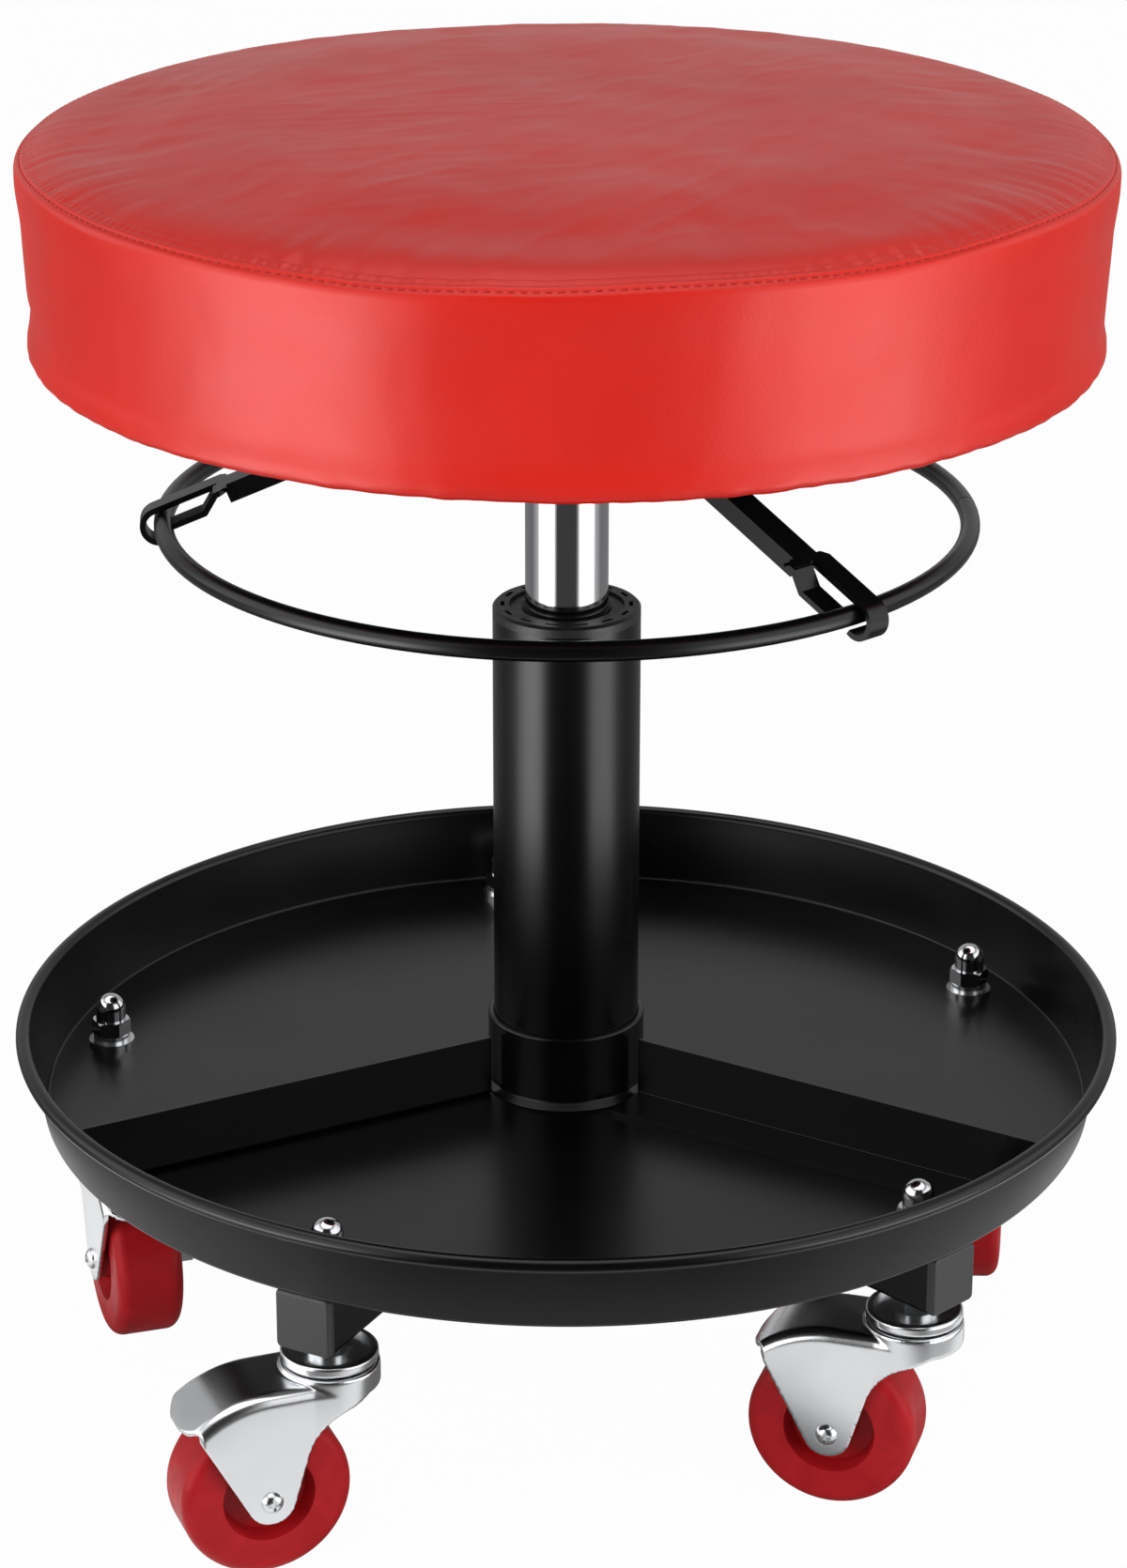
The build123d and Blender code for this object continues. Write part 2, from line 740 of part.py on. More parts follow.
def piston():
    low = piston_bottom + fit_gap
    outer = cylinder_outer(cylinder_top) - cylinder_wall - running_gap
    body = ring(rod_foot_radius + fit_gap, outer, low, rod_top)
    middle = (low + rod_top) / 2
    half = piston_ring_width / 2
    return body - ring(outer - piston_ring_depth, outer + overrun, middle - half, middle + half)


def rod_clip():
    top = end_plate_bottom - clip_gap
    inner = rod_foot_radius - rod_groove_depth + fit_gap
    body = ring(inner, clip_radius, top - clip_gauge + fit_gap, top - fit_gap)
    half = rod_foot_radius - rod_groove_depth
    return body - block((0, -half, column_bottom - overrun), (clip_radius, half, end_plate_bottom))


def thrust_bearing():
    low, balls, high, top = bearing_heights()
    bore = rod_foot_radius + running_gap
    pieces = [ring(bore, bearing_radius, low, balls), ring(bore, bearing_radius, high, top)]
    ball = polar(bearing_ball_circle, 0, (balls + high) / 2) * Sphere(bearing_ball_radius)
    return pieces + around(ball, bearing_ball_count)


def rubber_buffer():
    low = bearing_heights()[3] + buffer_gap
    high = cylinder_bottom - lift_down - stop_gap
    body = ring(rod_radius + fit_gap, buffer_radius, low, high)
    return fillet(body.edges().group_by(Axis.Z)[-1].sort_by(SortBy.RADIUS)[-1], corner_chamfer)


# Seat
def cushion_curve(inset):
    """The cushion's side and crown, drawn in by the inset, with their foot, seam and top."""
    foot = (seat_radius - seat_foot_inset - inset, seat_underside + seat_corner_radius)
    edge = (seat_radius - inset, seat_underside + seat_side_height)
    waist_shares = (0.25, 0.5)
    waist = (
        edge[0] - seat_foot_inset * waist_shares[0], foot[1] + (edge[1] - foot[1]) * waist_shares[1],
    )
    seam = (seat_radius - seat_seam_inset - inset, seat_underside + seat_seam_height - inset)
    turn_shares = (0.32, 0.56)
    turn = (
        edge[0] - (edge[0] - seam[0]) * turn_shares[0], edge[1] + (seam[1] - edge[1]) * turn_shares[1],
    )
    side = ThreePointArc(foot, waist, edge) + ThreePointArc(edge, turn, seam)
    rim = (seam[0] - crown_shoulder, seam[1] + crown_shoulder_rise)
    top = (0, seam[1] + crown_rise)
    sag = top[1] - rim[1]
    cap_radius = (rim[0] ** 2 + sag ** 2) / (2 * sag)
    half_angle = math.asin(rim[0] / cap_radius) / 2
    middle = (cap_radius * math.sin(half_angle), top[1] - cap_radius * (1 - math.cos(half_angle)))
    cap = ThreePointArc(rim, middle, top)
    shoulder = TangentArc(rim, seam, tangent=(cap % 0) * -1)
    return side, shoulder + cap, foot, seam, top


def cover_top():
    """The top panel, from the seam to the middle."""
    _, crown_out, _, seam_out, top_out = cushion_curve(0.0)
    _, crown_in, _, seam_in, top_in = cushion_curve(cover_gauge)
    edges = crown_out + crown_in + Line(seam_out, seam_in) + Line(top_out, top_in)
    return turned(make_face(edges))


def cover_band():
    """The side band, its corner and the hem that is turned under the board."""
    side_out, _, foot, seam_out, _ = cushion_curve(0.0)
    side_in, _, _, seam_in, _ = cushion_curve(cover_gauge)
    radius = seat_corner_radius
    centre = (foot[0] - radius, foot[1])
    corner_out = CenterArc(centre, radius, -90, 90)
    corner_in = CenterArc(centre, radius - cover_gauge, -90, 90)
    hem = foot[0] - hem_width
    under = Polyline(corner_out @ 0, (hem, seat_underside), (hem, board_bottom), corner_in @ 0)
    edges = side_out + side_in + corner_out + corner_in + under + Line(seam_out, seam_in)
    return turned(make_face(edges))


def seat_board():
    body = ring(0, board_radius, board_bottom, board_top)
    for cut in bolt_places(ring(0, tee_nut_radius + fit_gap, board_bottom, board_top)):
        body -= cut
    return body


def seat_foam():
    """The foam, which also wraps the board's edge."""
    side, crown, foot, _, top = cushion_curve(cover_gauge + fit_gap)
    board_edge = board_radius + fit_gap
    low = board_top + fit_gap
    rest = Polyline(foot, (board_edge, foot[1]), (board_edge, low), (0, low), top)
    body = turned(make_face(side + crown + rest))
    flange = tee_nut_flange_radius + tee_nut_recess_gap
    roof = board_top + tee_nut_flange + tee_nut_recess_gap
    for cut in bolt_places(ring(0, flange, board_bottom, roof)):
        body -= cut
    return body


def bolt_places(shape):
    placed = Pos(plate_bolt_circle, 0, 0) * shape
    return around(placed, plate_bolt_count, plate_bolt_first_azimuth)


def seat_bolts():
    head_low = plate_bottom - plate_bolt_head
    body = hexagon(plate_bolt_flats, head_low, plate_bottom)
    return bolt_places(body + ring(0, plate_bolt_radius, head_low, board_top))


def tee_nuts():
    bore = plate_bolt_radius + fit_gap
    body = ring(bore, tee_nut_radius, board_bottom, board_top)
    return bolt_places(body + ring(bore, tee_nut_flange_radius, board_top, board_top + tee_nut_flange))


def dust_cover():
    low = seat_underside - dust_cover_gauge
    body = ring(0, dust_cover_radius, low, seat_underside)
    for cut in bolt_places(ring(0, plate_bolt_radius + free_gap, low, seat_underside)):
        body -= cut
    return body


def staples():
    """Crowns that show under the cover, with their legs in the board."""
    low = seat_underside - dust_cover_gauge - staple_gauge
    leg_top_height = board_bottom + staple_leg
    half_length = staple_length / 2
    half = staple_gauge / 2
    near, far = staple_circle - half, staple_circle + half
    crown = block((near, -half_length, low), (far, half_length, low + staple_gauge))
    for side in (-1, 1):
        middle = side * (half_length - half)
        crown += block((near, middle - half, low), (far, middle + half, leg_top_height))
    return around(crown, staple_count, 360 / staple_count / 2)


def staple_holes(body):
    """The same body with a hole for every staple leg."""
    half_length = staple_length / 2
    half = staple_gauge / 2 + fit_gap
    low = seat_underside - dust_cover_gauge - staple_gauge
    high = board_bottom + staple_leg + fit_gap
    for side in (-1, 1):
        middle = side * (half_length - staple_gauge / 2)
        hole = block((staple_circle - half, middle - half, low), (staple_circle + half, middle + half, high))
        for cut in around(hole, staple_count, 360 / staple_count / 2):
            body -= cut
    return body


def seat_plate():
    """The pressed pan: bolted flange, wall with lever windows, floor and cone hub."""
    wall_in = pan_radius - plate_gauge
    hub_in_low = cylinder_outer(hub_bottom) + fit_gap
    hub_in_high = cylinder_outer(hub_top) + fit_gap
    body = turned(flat([
        (wall_in, pan_floor_top), (wall_in, plate_top), (plate_radius, plate_top),
        (plate_radius, plate_bottom), (pan_radius, plate_bottom), (pan_radius, pan_floor_bottom),
        (hub_radius, pan_floor_bottom), (hub_radius, hub_bottom), (hub_in_low, hub_bottom),
        (hub_in_high, hub_top), (hub_radius, hub_top), (hub_radius, pan_floor_top),
    ]))
    window_top = web_height(wall_in) + lever_gauge + window_gap
    half = lever_tongue_width / 2 + window_gap
    window = block((hub_radius + plate_gauge, -half, pan_floor_top), (pan_radius + overrun, half, window_top))
    for azimuth in lever_azimuths:
        body -= Rot(0, 0, azimuth) * window
    for cut in bolt_places(ring(0, plate_bolt_radius + fit_gap, plate_bottom, plate_top)):
        body -= cut
    return body


# Ring lever
def hook_line():
    """Radius and height where the sloping web meets the hook, and the slope's angle."""
    start = (lever_tongue_reach, lever_disc_bottom + lever_gauge / 2)
    touch = tangent_point(hook_centre, lever_hook_radius + lever_gauge / 2, start, -1)
    angle = math.atan2(start[1] - touch[1], touch[0] - start[0])
    return start, touch, angle


def web_height(radius):
    """Height of the web's underside at a radius."""
    start, touch, angle = hook_line()
    return touch[1] + (touch[0] - radius) * math.tan(angle) - lever_gauge / 2 / math.cos(angle)


def along_web(first, last, above, below):
    """A strip that follows the web's slope between two radii, in radius and height."""
    start, touch, angle = hook_line()
    corners = []
    for radius, rise in ((first, below), (last, below), (last, above), (first, above)):
        height = touch[1] + (touch[0] - radius) * math.tan(angle)
        corners.append((radius + rise * math.sin(angle), height + rise * math.cos(angle)))
    return Plane.XZ * flat(corners)


def lever_arm(hook_side):
    """One arm along +X: tongue, channel, split end and the hook over the ring."""
    start, touch, angle = hook_line()
    thin = lever_gauge / 2
    arm_half = lever_arm_width / 2
    blank_half = lever_blank_width / 2
    tongue = block(
        (0, -lever_tongue_width / 2, lever_disc_bottom), (start[0], lever_tongue_width / 2, start[1] + thin)
    )
    neck = extrude(along_web(start[0], lever_flange_start, thin, -thin), lever_tongue_width / 2, both=True)
    web = extrude(along_web(lever_flange_start, touch[0], thin, -thin), arm_half, both=True)
    body = tongue + neck + web
    for side in (-1, 1):
        wall = extrude(
            along_web(lever_flange_start, lever_flange_end, thin, thin - lever_flange_height), thin, both=True
        )
        body += Pos(0, side * (arm_half - thin), 0) * wall
    blank = extrude(along_web(lever_blank_start, touch[0], thin, -thin), blank_half, both=True)
    corner = flat([
        (lever_blank_start, blank_half), (lever_blank_start + lever_corner, blank_half),
        (lever_blank_start, blank_half - lever_corner),
    ])
    for face in (corner, mirror(corner, Plane.XZ)):
        blank -= extrude(face, 2 * ring_height)
    body += blank
    slot_half = lever_slot_width / 2
    body -= block((lever_slot_start, -slot_half, 0), (2 * lever_ring_radius, slot_half, start[1]))
    body -= Pos(lever_slot_start, 0, 0) * ring(0, slot_half, 0, start[1])
    width = blank_half - slot_half
    place = hook_side * (slot_half + width / 2)
    outer = lever_hook_radius + lever_gauge
    curl = sector(hook_centre, lever_hook_radius, outer, 90 - math.degrees(angle), -lever_hook_sweep)
    body += Pos(0, place, 0) * extrude(Plane.XZ * curl, width / 2, both=True)
    spare = block(
        (lever_slot_start, -place - width / 2, 0), (2 * lever_ring_radius, -place + width / 2, start[1])
    )
    lobe = extrude(Plane.XZ * lower_lobe(), width / 2, both=True)
    return body - spare + Pos(0, -place, 0) * lobe


def strip(first, last):
    """A straight strip of the lever's gauge between two points in radius and height."""
    slope = math.atan2(first[1] - last[1], last[0] - first[0])
    across = (lever_gauge / 2 * math.sin(slope), lever_gauge / 2 * math.cos(slope))
    return flat([
        (first[0] - across[0], first[1] - across[1]), (last[0] - across[0], last[1] - across[1]),
        (last[0] + across[0], last[1] + across[1]), (first[0] + across[0], first[1] + across[1]),
    ])


def lower_lobe():
    """The other half of the split end, stepped down so that it ends against the ring."""
    _, touch, angle = hook_line()
    root = (lever_slot_start, touch[1] + (touch[0] - lever_slot_start) * math.tan(angle))
    foot_radius = lever_slot_start + lever_step_length
    foot = (foot_radius, ring_height + (lever_ring_radius - foot_radius) * math.tan(angle))
    end_radius = lever_ring_radius - lever_lobe_end
    end = (end_radius, ring_height + (lever_ring_radius - end_radius) * math.tan(angle))
    bends = Pos(*root) * Circle(lever_gauge / 2) + Pos(*foot) * Circle(lever_gauge / 2)
    return strip(root, foot) + strip(foot, end) + bends


def lever_spider():
    top = lever_disc_bottom + lever_gauge
    body = ring(0, lever_disc_radius, lever_disc_bottom, top)
    for azimuth, hook_side in zip(lever_azimuths, lever_hook_sides):
        body += Rot(0, 0, azimuth) * lever_arm(hook_side)
    return body - lever_rod(fit_gap, 360.0)


def lever_rod(extra, sweep):
    """The ring's round rod, made thicker by the extra, over the sweep in degrees."""
    circle = Pos(lever_ring_radius, ring_height) * Circle(lever_rod_radius + extra)
    return revolve(Plane.XZ * circle, Axis.Z, sweep)


def lever_ring():
    gap = math.degrees(lever_joint_gap / lever_ring_radius)
    return Rot(0, 0, lever_joint_azimuth + gap / 2) * lever_rod(0.0, 360 - gap)


def write_base():
    keep("column_tube", column_tube())
    keep("column_socket", column_socket())
    keep("column_bush", column_bush())
    keep("column_end_plate", column_end_plate())
    keep("tray", tray())
    for name, azimuth in zip(("rear", "left", "right"), (0, 1, 2)):
        turn = divider_first_azimuth + azimuth * 360 / divider_count
        keep(f"divider_{name}", Rot(0, 0, turn) * divider())
    for index in range(leg_count):
        keep(f"leg_{index + 1}", Rot(0, 0, leg_azimuth(index)) * leg())
    keep("leg_caps", *around(leg_cap(), leg_count, leg_first_azimuth))
    washer, spring, nut = nut_stack()
    places = range(leg_count)
    keep("nut_washers", *[at_stem(piece, index) for index in places for piece in (washer, spring)])
    keep("cap_nuts", *[at_stem(nut, index) for index in places])
    keep("kingpins", *[at_stem(kingpin(), index) for index in places])
    keep("caster_cups", *[at_stem(caster_cup(), index) for index in places])
    keep("caster_balls", *[at_stem(ball, index) for index in places for ball in caster_balls()])


def write_casters():
    pressing = fork()
    bolt, nut = axle()
    for index in range(leg_count):
        keep(f"fork_{index + 1}", at_caster(pressing, index))
        keep(f"axle_{index + 1}", at_axle(bolt, index), at_axle(nut, index))
        keep(f"wheel_{index + 1}", at_caster(wheel(), index))
        keep(f"wheel_bush_{index + 1}", at_caster(wheel_bush(), index))


def write_lift():
    keep("gas_cylinder", gas_cylinder())
    keep("valve_block", valve_block())
    keep("release_pin", release_pin())
    keep("rod_guide", rod_guide())
    keep("piston_rod", piston_rod())
    keep("piston", piston())
    keep("rod_clip", rod_clip())
    keep("thrust_bearing", *thrust_bearing())
    keep("rubber_buffer", rubber_buffer())


def write_seat():
    keep("seat_cover_top", cover_top())
    keep("seat_cover_band", staple_holes(cover_band()))
    keep("seat_foam", seat_foam())
    keep("seat_board", staple_holes(seat_board()))
    keep("seat_dust_cover", staple_holes(dust_cover()))
    keep("cover_staples", *staples())
    keep("seat_plate", seat_plate())
    keep("seat_bolts", *seat_bolts())
    keep("seat_tee_nuts", *tee_nuts())
    keep("lever_ring", lever_ring())
    keep("lever_spider", lever_spider())


write_base()
write_casters()
write_lift()
write_seat()
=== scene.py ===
import math

import bmesh
import bpy
from mathutils import Matrix, Vector, noise
from mathutils.bvhtree import BVHTree


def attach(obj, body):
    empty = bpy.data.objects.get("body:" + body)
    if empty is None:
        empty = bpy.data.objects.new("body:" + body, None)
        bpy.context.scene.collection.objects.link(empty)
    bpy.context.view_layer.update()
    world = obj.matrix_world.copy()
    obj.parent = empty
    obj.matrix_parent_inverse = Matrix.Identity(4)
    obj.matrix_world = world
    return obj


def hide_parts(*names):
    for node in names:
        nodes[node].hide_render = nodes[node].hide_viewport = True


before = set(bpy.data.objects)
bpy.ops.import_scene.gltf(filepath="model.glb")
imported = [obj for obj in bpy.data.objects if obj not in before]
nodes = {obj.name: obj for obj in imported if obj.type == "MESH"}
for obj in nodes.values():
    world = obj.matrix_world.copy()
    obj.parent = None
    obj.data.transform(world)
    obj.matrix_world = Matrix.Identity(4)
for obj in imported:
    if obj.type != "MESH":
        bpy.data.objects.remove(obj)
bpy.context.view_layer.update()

MM = 0.001
weld_gap = 0.001 * MM        # corners closer than this are one
scene = bpy.context.scene
scene.view_settings.view_transform = "Standard"


# ---------------------------------------------------------------- shader nodes

def shader_node(tree, kind, **settings):
    made = tree.nodes.new(kind)
    for key, value in settings.items():
        setattr(made, key, value)
    return made


def plug(tree, socket, source):
    """Feeds a socket from another node, or sets it to a value."""
    if isinstance(source, bpy.types.NodeSocket):
        tree.links.new(source, socket)
    else:
        socket.default_value = source


def arithmetic(tree, operation, *sources, clamp=False):
    made = shader_node(tree, "ShaderNodeMath", operation=operation, use_clamp=clamp)
    for socket, source in zip(made.inputs, sources):
        plug(tree, socket, source)
    return made.outputs[0]


def mapped(tree, source, low, high, to_low=0.0, to_high=1.0, kind="LINEAR"):
    """The source's range from low to high, spread from to_low to to_high."""
    made = shader_node(tree, "ShaderNodeMapRange", interpolation_type=kind)
    sockets = [made.inputs[name] for name in ("Value", "From Min", "From Max", "To Min", "To Max")]
    for socket, value in zip(sockets, (source, low, high, to_low, to_high)):
        plug(tree, socket, value)
    return made.outputs["Result"]


def mixed(tree, share, first, second):
    """A level between two, by share."""
    made = shader_node(tree, "ShaderNodeMix", data_type="FLOAT")
    for index, source in ((0, share), (2, first), (3, second)):
        plug(tree, made.inputs[index], source)
    return made.outputs[0]


# ---------------------------------------------------------------- finishes

def linear(red, green, blue):
    """A colour written as 0 to 255 on screen, as the shader needs it."""
    parts = [c / 255 for c in (red, green, blue)]
    return tuple(c / 12.92 if c <= 0.04045 else ((c + 0.055) / 1.055) ** 2.4 for c in parts) + (1.0,)


class Finish:
    """A procedural material on Object coordinates, with one shader and its patterns."""

    def __init__(self, name, roughness, metallic=0.0, **levels):
        self.material = bpy.data.materials.new(name)
        self.material.use_nodes = True
        self.tree = self.material.node_tree
        self.shader = self.tree.nodes["Principled BSDF"]
        self.shader.inputs["Roughness"].default_value = roughness
        self.shader.inputs["Metallic"].default_value = metallic
        for socket, level in levels.items():
            self.shader.inputs[socket.replace("_", " ")].default_value = level
        self.place = self.tree.nodes.new("ShaderNodeTexCoord").outputs["Object"]
        self.relief = None

    def node(self, kind, inputs, **settings):
        made = shader_node(self.tree, kind, **settings)
        for socket, source in inputs.items():
            plug(self.tree, made.inputs[socket], source)
        return made

    def stretched(self, x, y, z):
        """Coordinates that run faster along the axes with larger numbers."""
        return self.node("ShaderNodeMapping", {"Vector": self.place, "Scale": (x, y, z)}).outputs["Vector"]

    def cloud(self, size, detail=3.0, place=None, distortion=0.0):
        """Noise whose blotches are about this size in metres."""
        inputs = {"Vector": place or self.place, "Scale": 1 / size}
        inputs |= {"Detail": detail, "Distortion": distortion}
        return self.node("ShaderNodeTexNoise", inputs).outputs["Fac"]

    def cells(self, size, feature="F1"):
        """Cells about this size in metres, as leather or foam has."""
        inputs = {"Vector": self.place, "Scale": 1 / size}
        return self.node("ShaderNodeTexVoronoi", inputs, feature=feature).outputs["Distance"]

    def between(self, source, low, high, to_low=0.0, to_high=1.0):
        return mapped(self.tree, source, low, high, to_low, to_high)

    def blended(self, share, first, second):
        """A colour between two, by share."""
        return self.node("ShaderNodeMix", {0: share, 6: first, 7: second}, data_type="RGBA").outputs[2]

    def colour(self, source):
        plug(self.tree, self.shader.inputs["Base Color"], source)

    def roughness(self, source):
        plug(self.tree, self.shader.inputs["Roughness"], source)

    def bump(self, source, height, strength=1.0):
        """Adds relief of this height in metres on top of what is there."""
        inputs = {"Height": source, "Distance": height, "Strength": strength}
        if self.relief:
            inputs["Normal"] = self.relief
        self.relief = self.node("ShaderNodeBump", inputs).outputs["Normal"]
        plug(self.tree, self.shader.inputs["Normal"], self.relief)


def make_vinyl():
    made = Finish("red_vinyl", 0.36, Specular_IOR_Level=0.5)
    tone = made.between(made.cloud(0.09, 4), 0.35, 0.7)
    made.colour(made.blended(tone, linear(205, 26, 13), linear(216, 31, 16)))
    made.roughness(made.between(made.cloud(0.03, 5), 0.3, 0.75, 0.33, 0.42))
    made.bump(made.cells(0.0011, "SMOOTH_F1"), 0.00005, 0.5)
    made.bump(made.cloud(0.012, 5, distortion=0.6), 0.0003, 0.3)
    return made.material


def make_thread():
    made = Finish("red_thread", 0.5)
    made.colour(made.blended(made.cloud(0.0012), linear(150, 18, 12), linear(196, 34, 24)))
    made.bump(made.cloud(0.0005), 0.0001)
    return made.material


def make_paint():
    made = Finish("black_satin_paint", 0.3, Specular_IOR_Level=0.36)
    tone = made.between(made.cloud(0.05, 4), 0.35, 0.7)
    made.colour(made.blended(tone, linear(4, 4, 5), linear(8, 8, 9)))
    made.roughness(made.between(made.cloud(0.05, 3), 0.3, 0.75, 0.25, 0.3))
    made.bump(made.cloud(0.0016, 2), 0.00002, 0.15)
    return made.material


def make_chrome():
    made = Finish("polished_chrome", 0.06, 1.0)
    made.colour(linear(208, 208, 212))
    scratches = made.cloud(0.0016, 3, made.stretched(1, 1, 0.05))
    made.roughness(made.between(scratches, 0.4, 0.8, 0.05, 0.16))
    made.bump(made.cloud(0.02, 2), 0.00004, 0.3)
    return made.material


def make_zinc():
    made = Finish("bright_zinc", 0.26, 1.0)
    tone = made.between(made.cloud(0.03, 3), 0.3, 0.75)
    made.colour(made.blended(tone, linear(224, 226, 228), linear(233, 234, 236)))
    made.roughness(made.between(made.cloud(0.02, 3), 0.3, 0.8, 0.2, 0.26))
    made.bump(made.cloud(0.0014, 3), 0.00001, 0.1)
    return made.material


def make_steel():
    made = Finish("plain_steel", 0.35, 1.0)
    made.colour(made.blended(made.cloud(0.006, 5), linear(140, 140, 143), linear(176, 177, 180)))
    made.bump(made.cloud(0.001, 3, made.stretched(1, 1, 8)), 0.00004)
    return made.material


def make_aluminium():
    made = Finish("turned_aluminium", 0.3, 1.0)
    made.colour(made.blended(made.cloud(0.01, 4), linear(205, 206, 208), linear(222, 223, 225)))
    made.bump(made.cloud(0.0008, 2, made.stretched(0.1, 0.1, 4)), 0.00003)
    return made.material


def make_plastic():
    made = Finish("black_moulded_plastic", 0.42)
    made.colour(made.blended(made.cloud(0.02, 4), linear(20, 20, 21), linear(33, 33, 34)))
    made.roughness(made.between(made.cloud(0.006, 4), 0.3, 0.75, 0.36, 0.5))
    made.bump(made.cells(0.0009), 0.00005, 0.5)
    return made.material


def make_cap_plastic():
    made = Finish("grey_moulded_plastic", 0.5)
    made.colour(made.blended(made.cloud(0.012, 4), linear(42, 42, 44), linear(52, 52, 54)))
    made.roughness(made.between(made.cloud(0.006, 4), 0.3, 0.75, 0.44, 0.56))
    made.bump(made.cells(0.0009), 0.00003, 0.3)
    return made.material


def make_wheel_plastic():
    made = Finish("red_wheel_plastic", 0.4, Specular_IOR_Level=0.2)
    tone = made.between(made.cloud(0.014, 5, distortion=1.2), 0.35, 0.7)
    made.colour(made.blended(tone, linear(164, 22, 29), linear(180, 28, 35)))
    made.roughness(made.between(made.cloud(0.004, 5), 0.3, 0.75, 0.34, 0.5))
    made.bump(made.cloud(0.0012, 3), 0.00004, 0.25)
    return made.material


def make_rubber():
    made = Finish("black_rubber", 0.62)
    made.colour(made.blended(made.cloud(0.008, 4), linear(18, 18, 18), linear(30, 30, 30)))
    made.bump(made.cloud(0.0012, 4), 0.0001)
    return made.material


def make_foam():
    made = Finish("open_cell_foam", 0.9)
    made.colour(made.blended(made.cells(0.0018), linear(214, 200, 150), linear(236, 226, 184)))
    made.bump(made.cells(0.0018), 0.0005)
    return made.material


def make_plywood():
    made = Finish("plywood", 0.6)
    grain = made.cloud(0.01, 8, made.stretched(1, 0.08, 6), 0.8)
    made.colour(made.blended(made.between(grain, 0.3, 0.7), linear(168, 126, 82), linear(206, 170, 122)))
    made.bump(grain, 0.0003)
    return made.material


def make_dust_cloth():
    made = Finish("black_dust_cloth", 0.85, Sheen_Weight=0.25, Sheen_Roughness=0.5)
    made.colour(made.blended(made.cells(0.0016), linear(12, 12, 12), linear(32, 32, 33)))
    made.bump(made.cells(0.0016), 0.0002)
    return made.material


vinyl, thread, paint, zinc = make_vinyl(), make_thread(), make_paint(), make_zinc()
finishes = {
    "seat_vinyl": vinyl, "foam": make_foam(), "plywood": make_plywood(), "dust_cloth": make_dust_cloth(),
    "black_paint": paint, "chrome": make_chrome(), "zinc_plate": zinc, "plain_steel": make_steel(),
    "aluminium": make_aluminium(), "black_plastic": make_plastic(), "cap_plastic": make_cap_plastic(),
    "wheel_plastic": make_wheel_plastic(), "rubber": make_rubber(),
}
finish_of = {
    "seat_cover_top": "seat_vinyl", "seat_cover_band": "seat_vinyl", "seat_foam": "foam",
    "seat_board": "plywood", "seat_dust_cover": "dust_cloth", "cover_staples": "plain_steel",
    "seat_bolts": "zinc_plate", "seat_tee_nuts": "zinc_plate", "gas_cylinder": "chrome",
    "valve_block": "aluminium", "release_pin": "plain_steel", "rod_guide": "black_plastic",
    "piston_rod": "chrome", "piston": "aluminium", "rod_clip": "plain_steel",
    "thrust_bearing": "plain_steel", "rubber_buffer": "rubber", "column_bush": "black_plastic",
    "column_end_plate": "plain_steel", "leg_caps": "cap_plastic", "nut_washers": "zinc_plate",
    "cap_nuts": "chrome", "kingpins": "zinc_plate", "caster_cups": "zinc_plate",
    "caster_balls": "plain_steel",
}
for number in range(1, 6):
    finish_of[f"fork_{number}"] = finish_of[f"axle_{number}"] = "zinc_plate"
    finish_of[f"wheel_{number}"] = "wheel_plastic"
    finish_of[f"wheel_bush_{number}"] = "plain_steel"
for name, node in nodes.items():
    node.data.materials.clear()
    node.data.materials.append(finishes[finish_of.get(name, "black_paint")])


# ---------------------------------------------------------------- cushion

foot_radius = 176.0 * MM
foot_height = 367.1 * MM
foot_round = 4.0 * MM
side_radius = 178.0 * MM
side_top = 428.8 * MM
seam_radius = 176.7 * MM
seam_height = 431.4 * MM
crown_rise = 4.6 * MM        # of the middle, as a shallow dome
shoulder_rise = 8.2 * MM     # of the rounding next to the seam
shoulder_power = 14
cushion_steps = 480          # round the cushion
cushion_start = 1.2 * MM     # the simulated pad starts smaller by this
cushion_cap = 3.0 * MM       # the most that a point may move as it swells
pad_steps = 96
pad_middle = 20 * MM         # inside this radius the pad isn't made smaller
pad_voxel = 5.5 * MM
pad_hold = 4 * MM            # how far from the seam the pad is held
pad_foot_hold = 3 * MM
pad_pressure = 4.0
pad_stiffness = 20.0
pad_quality = 5
swell_frames = 20
swell_margin = 5 * MM        # next to the seam and the foot the cover keeps its own shape
top_fade = 44 * MM
band_fade = 16 * MM
foot_fade = 8 * MM
# how far the seam rises above its level, in mm, by the angle round the seat in degrees
seam_wander = (
    (-180, 0.3), (-158, 0.8), (-139, 0.3), (-120, -0.5), (-109, -1.2), (-95, -0.2), (-80, 0.9), (-60, 0.3),
    (-38, 1.5), (-20, 0.2), (-2, -1.1), (25, 0.0), (60, 0.5), (100, -0.4), (140, 0.5), (180, 0.3),
)
seam_wander_reach = 14 * MM
# the top's swells: rise in mm, waves per metre, seed
top_swells = ((0.8, 15, 2.0), (0.25, 45, 5.0))
top_rim = 4 * MM             # next to the seam the top has no swells and creases
top_rim_fade = 22 * MM
# its creases: rise in mm, angle in degrees, width and length in metres, seed, and whether they fill
# the patches or the places between them
top_creases = ((0.3, 34, 0.02, 0.06, 4.0, True), (0.26, 62, 0.013, 0.04, 6.0, False),
               (0.12, 5, 0.009, 0.05, 11.0, True))
# its gathers at the seam: angle and spread in degrees, and strength
gather_places = ((-158, 16, 1.0), (-28, 20, 0.9), (-112, 14, 0.8))
gather_everywhere = 0.35
gather_rise = 0.5 * MM
gather_begin = 5 * MM        # from the seam
gather_end = 12 * MM
gather_fade = 26 * MM
gather_waves = 34            # in the noise, for each radian's length
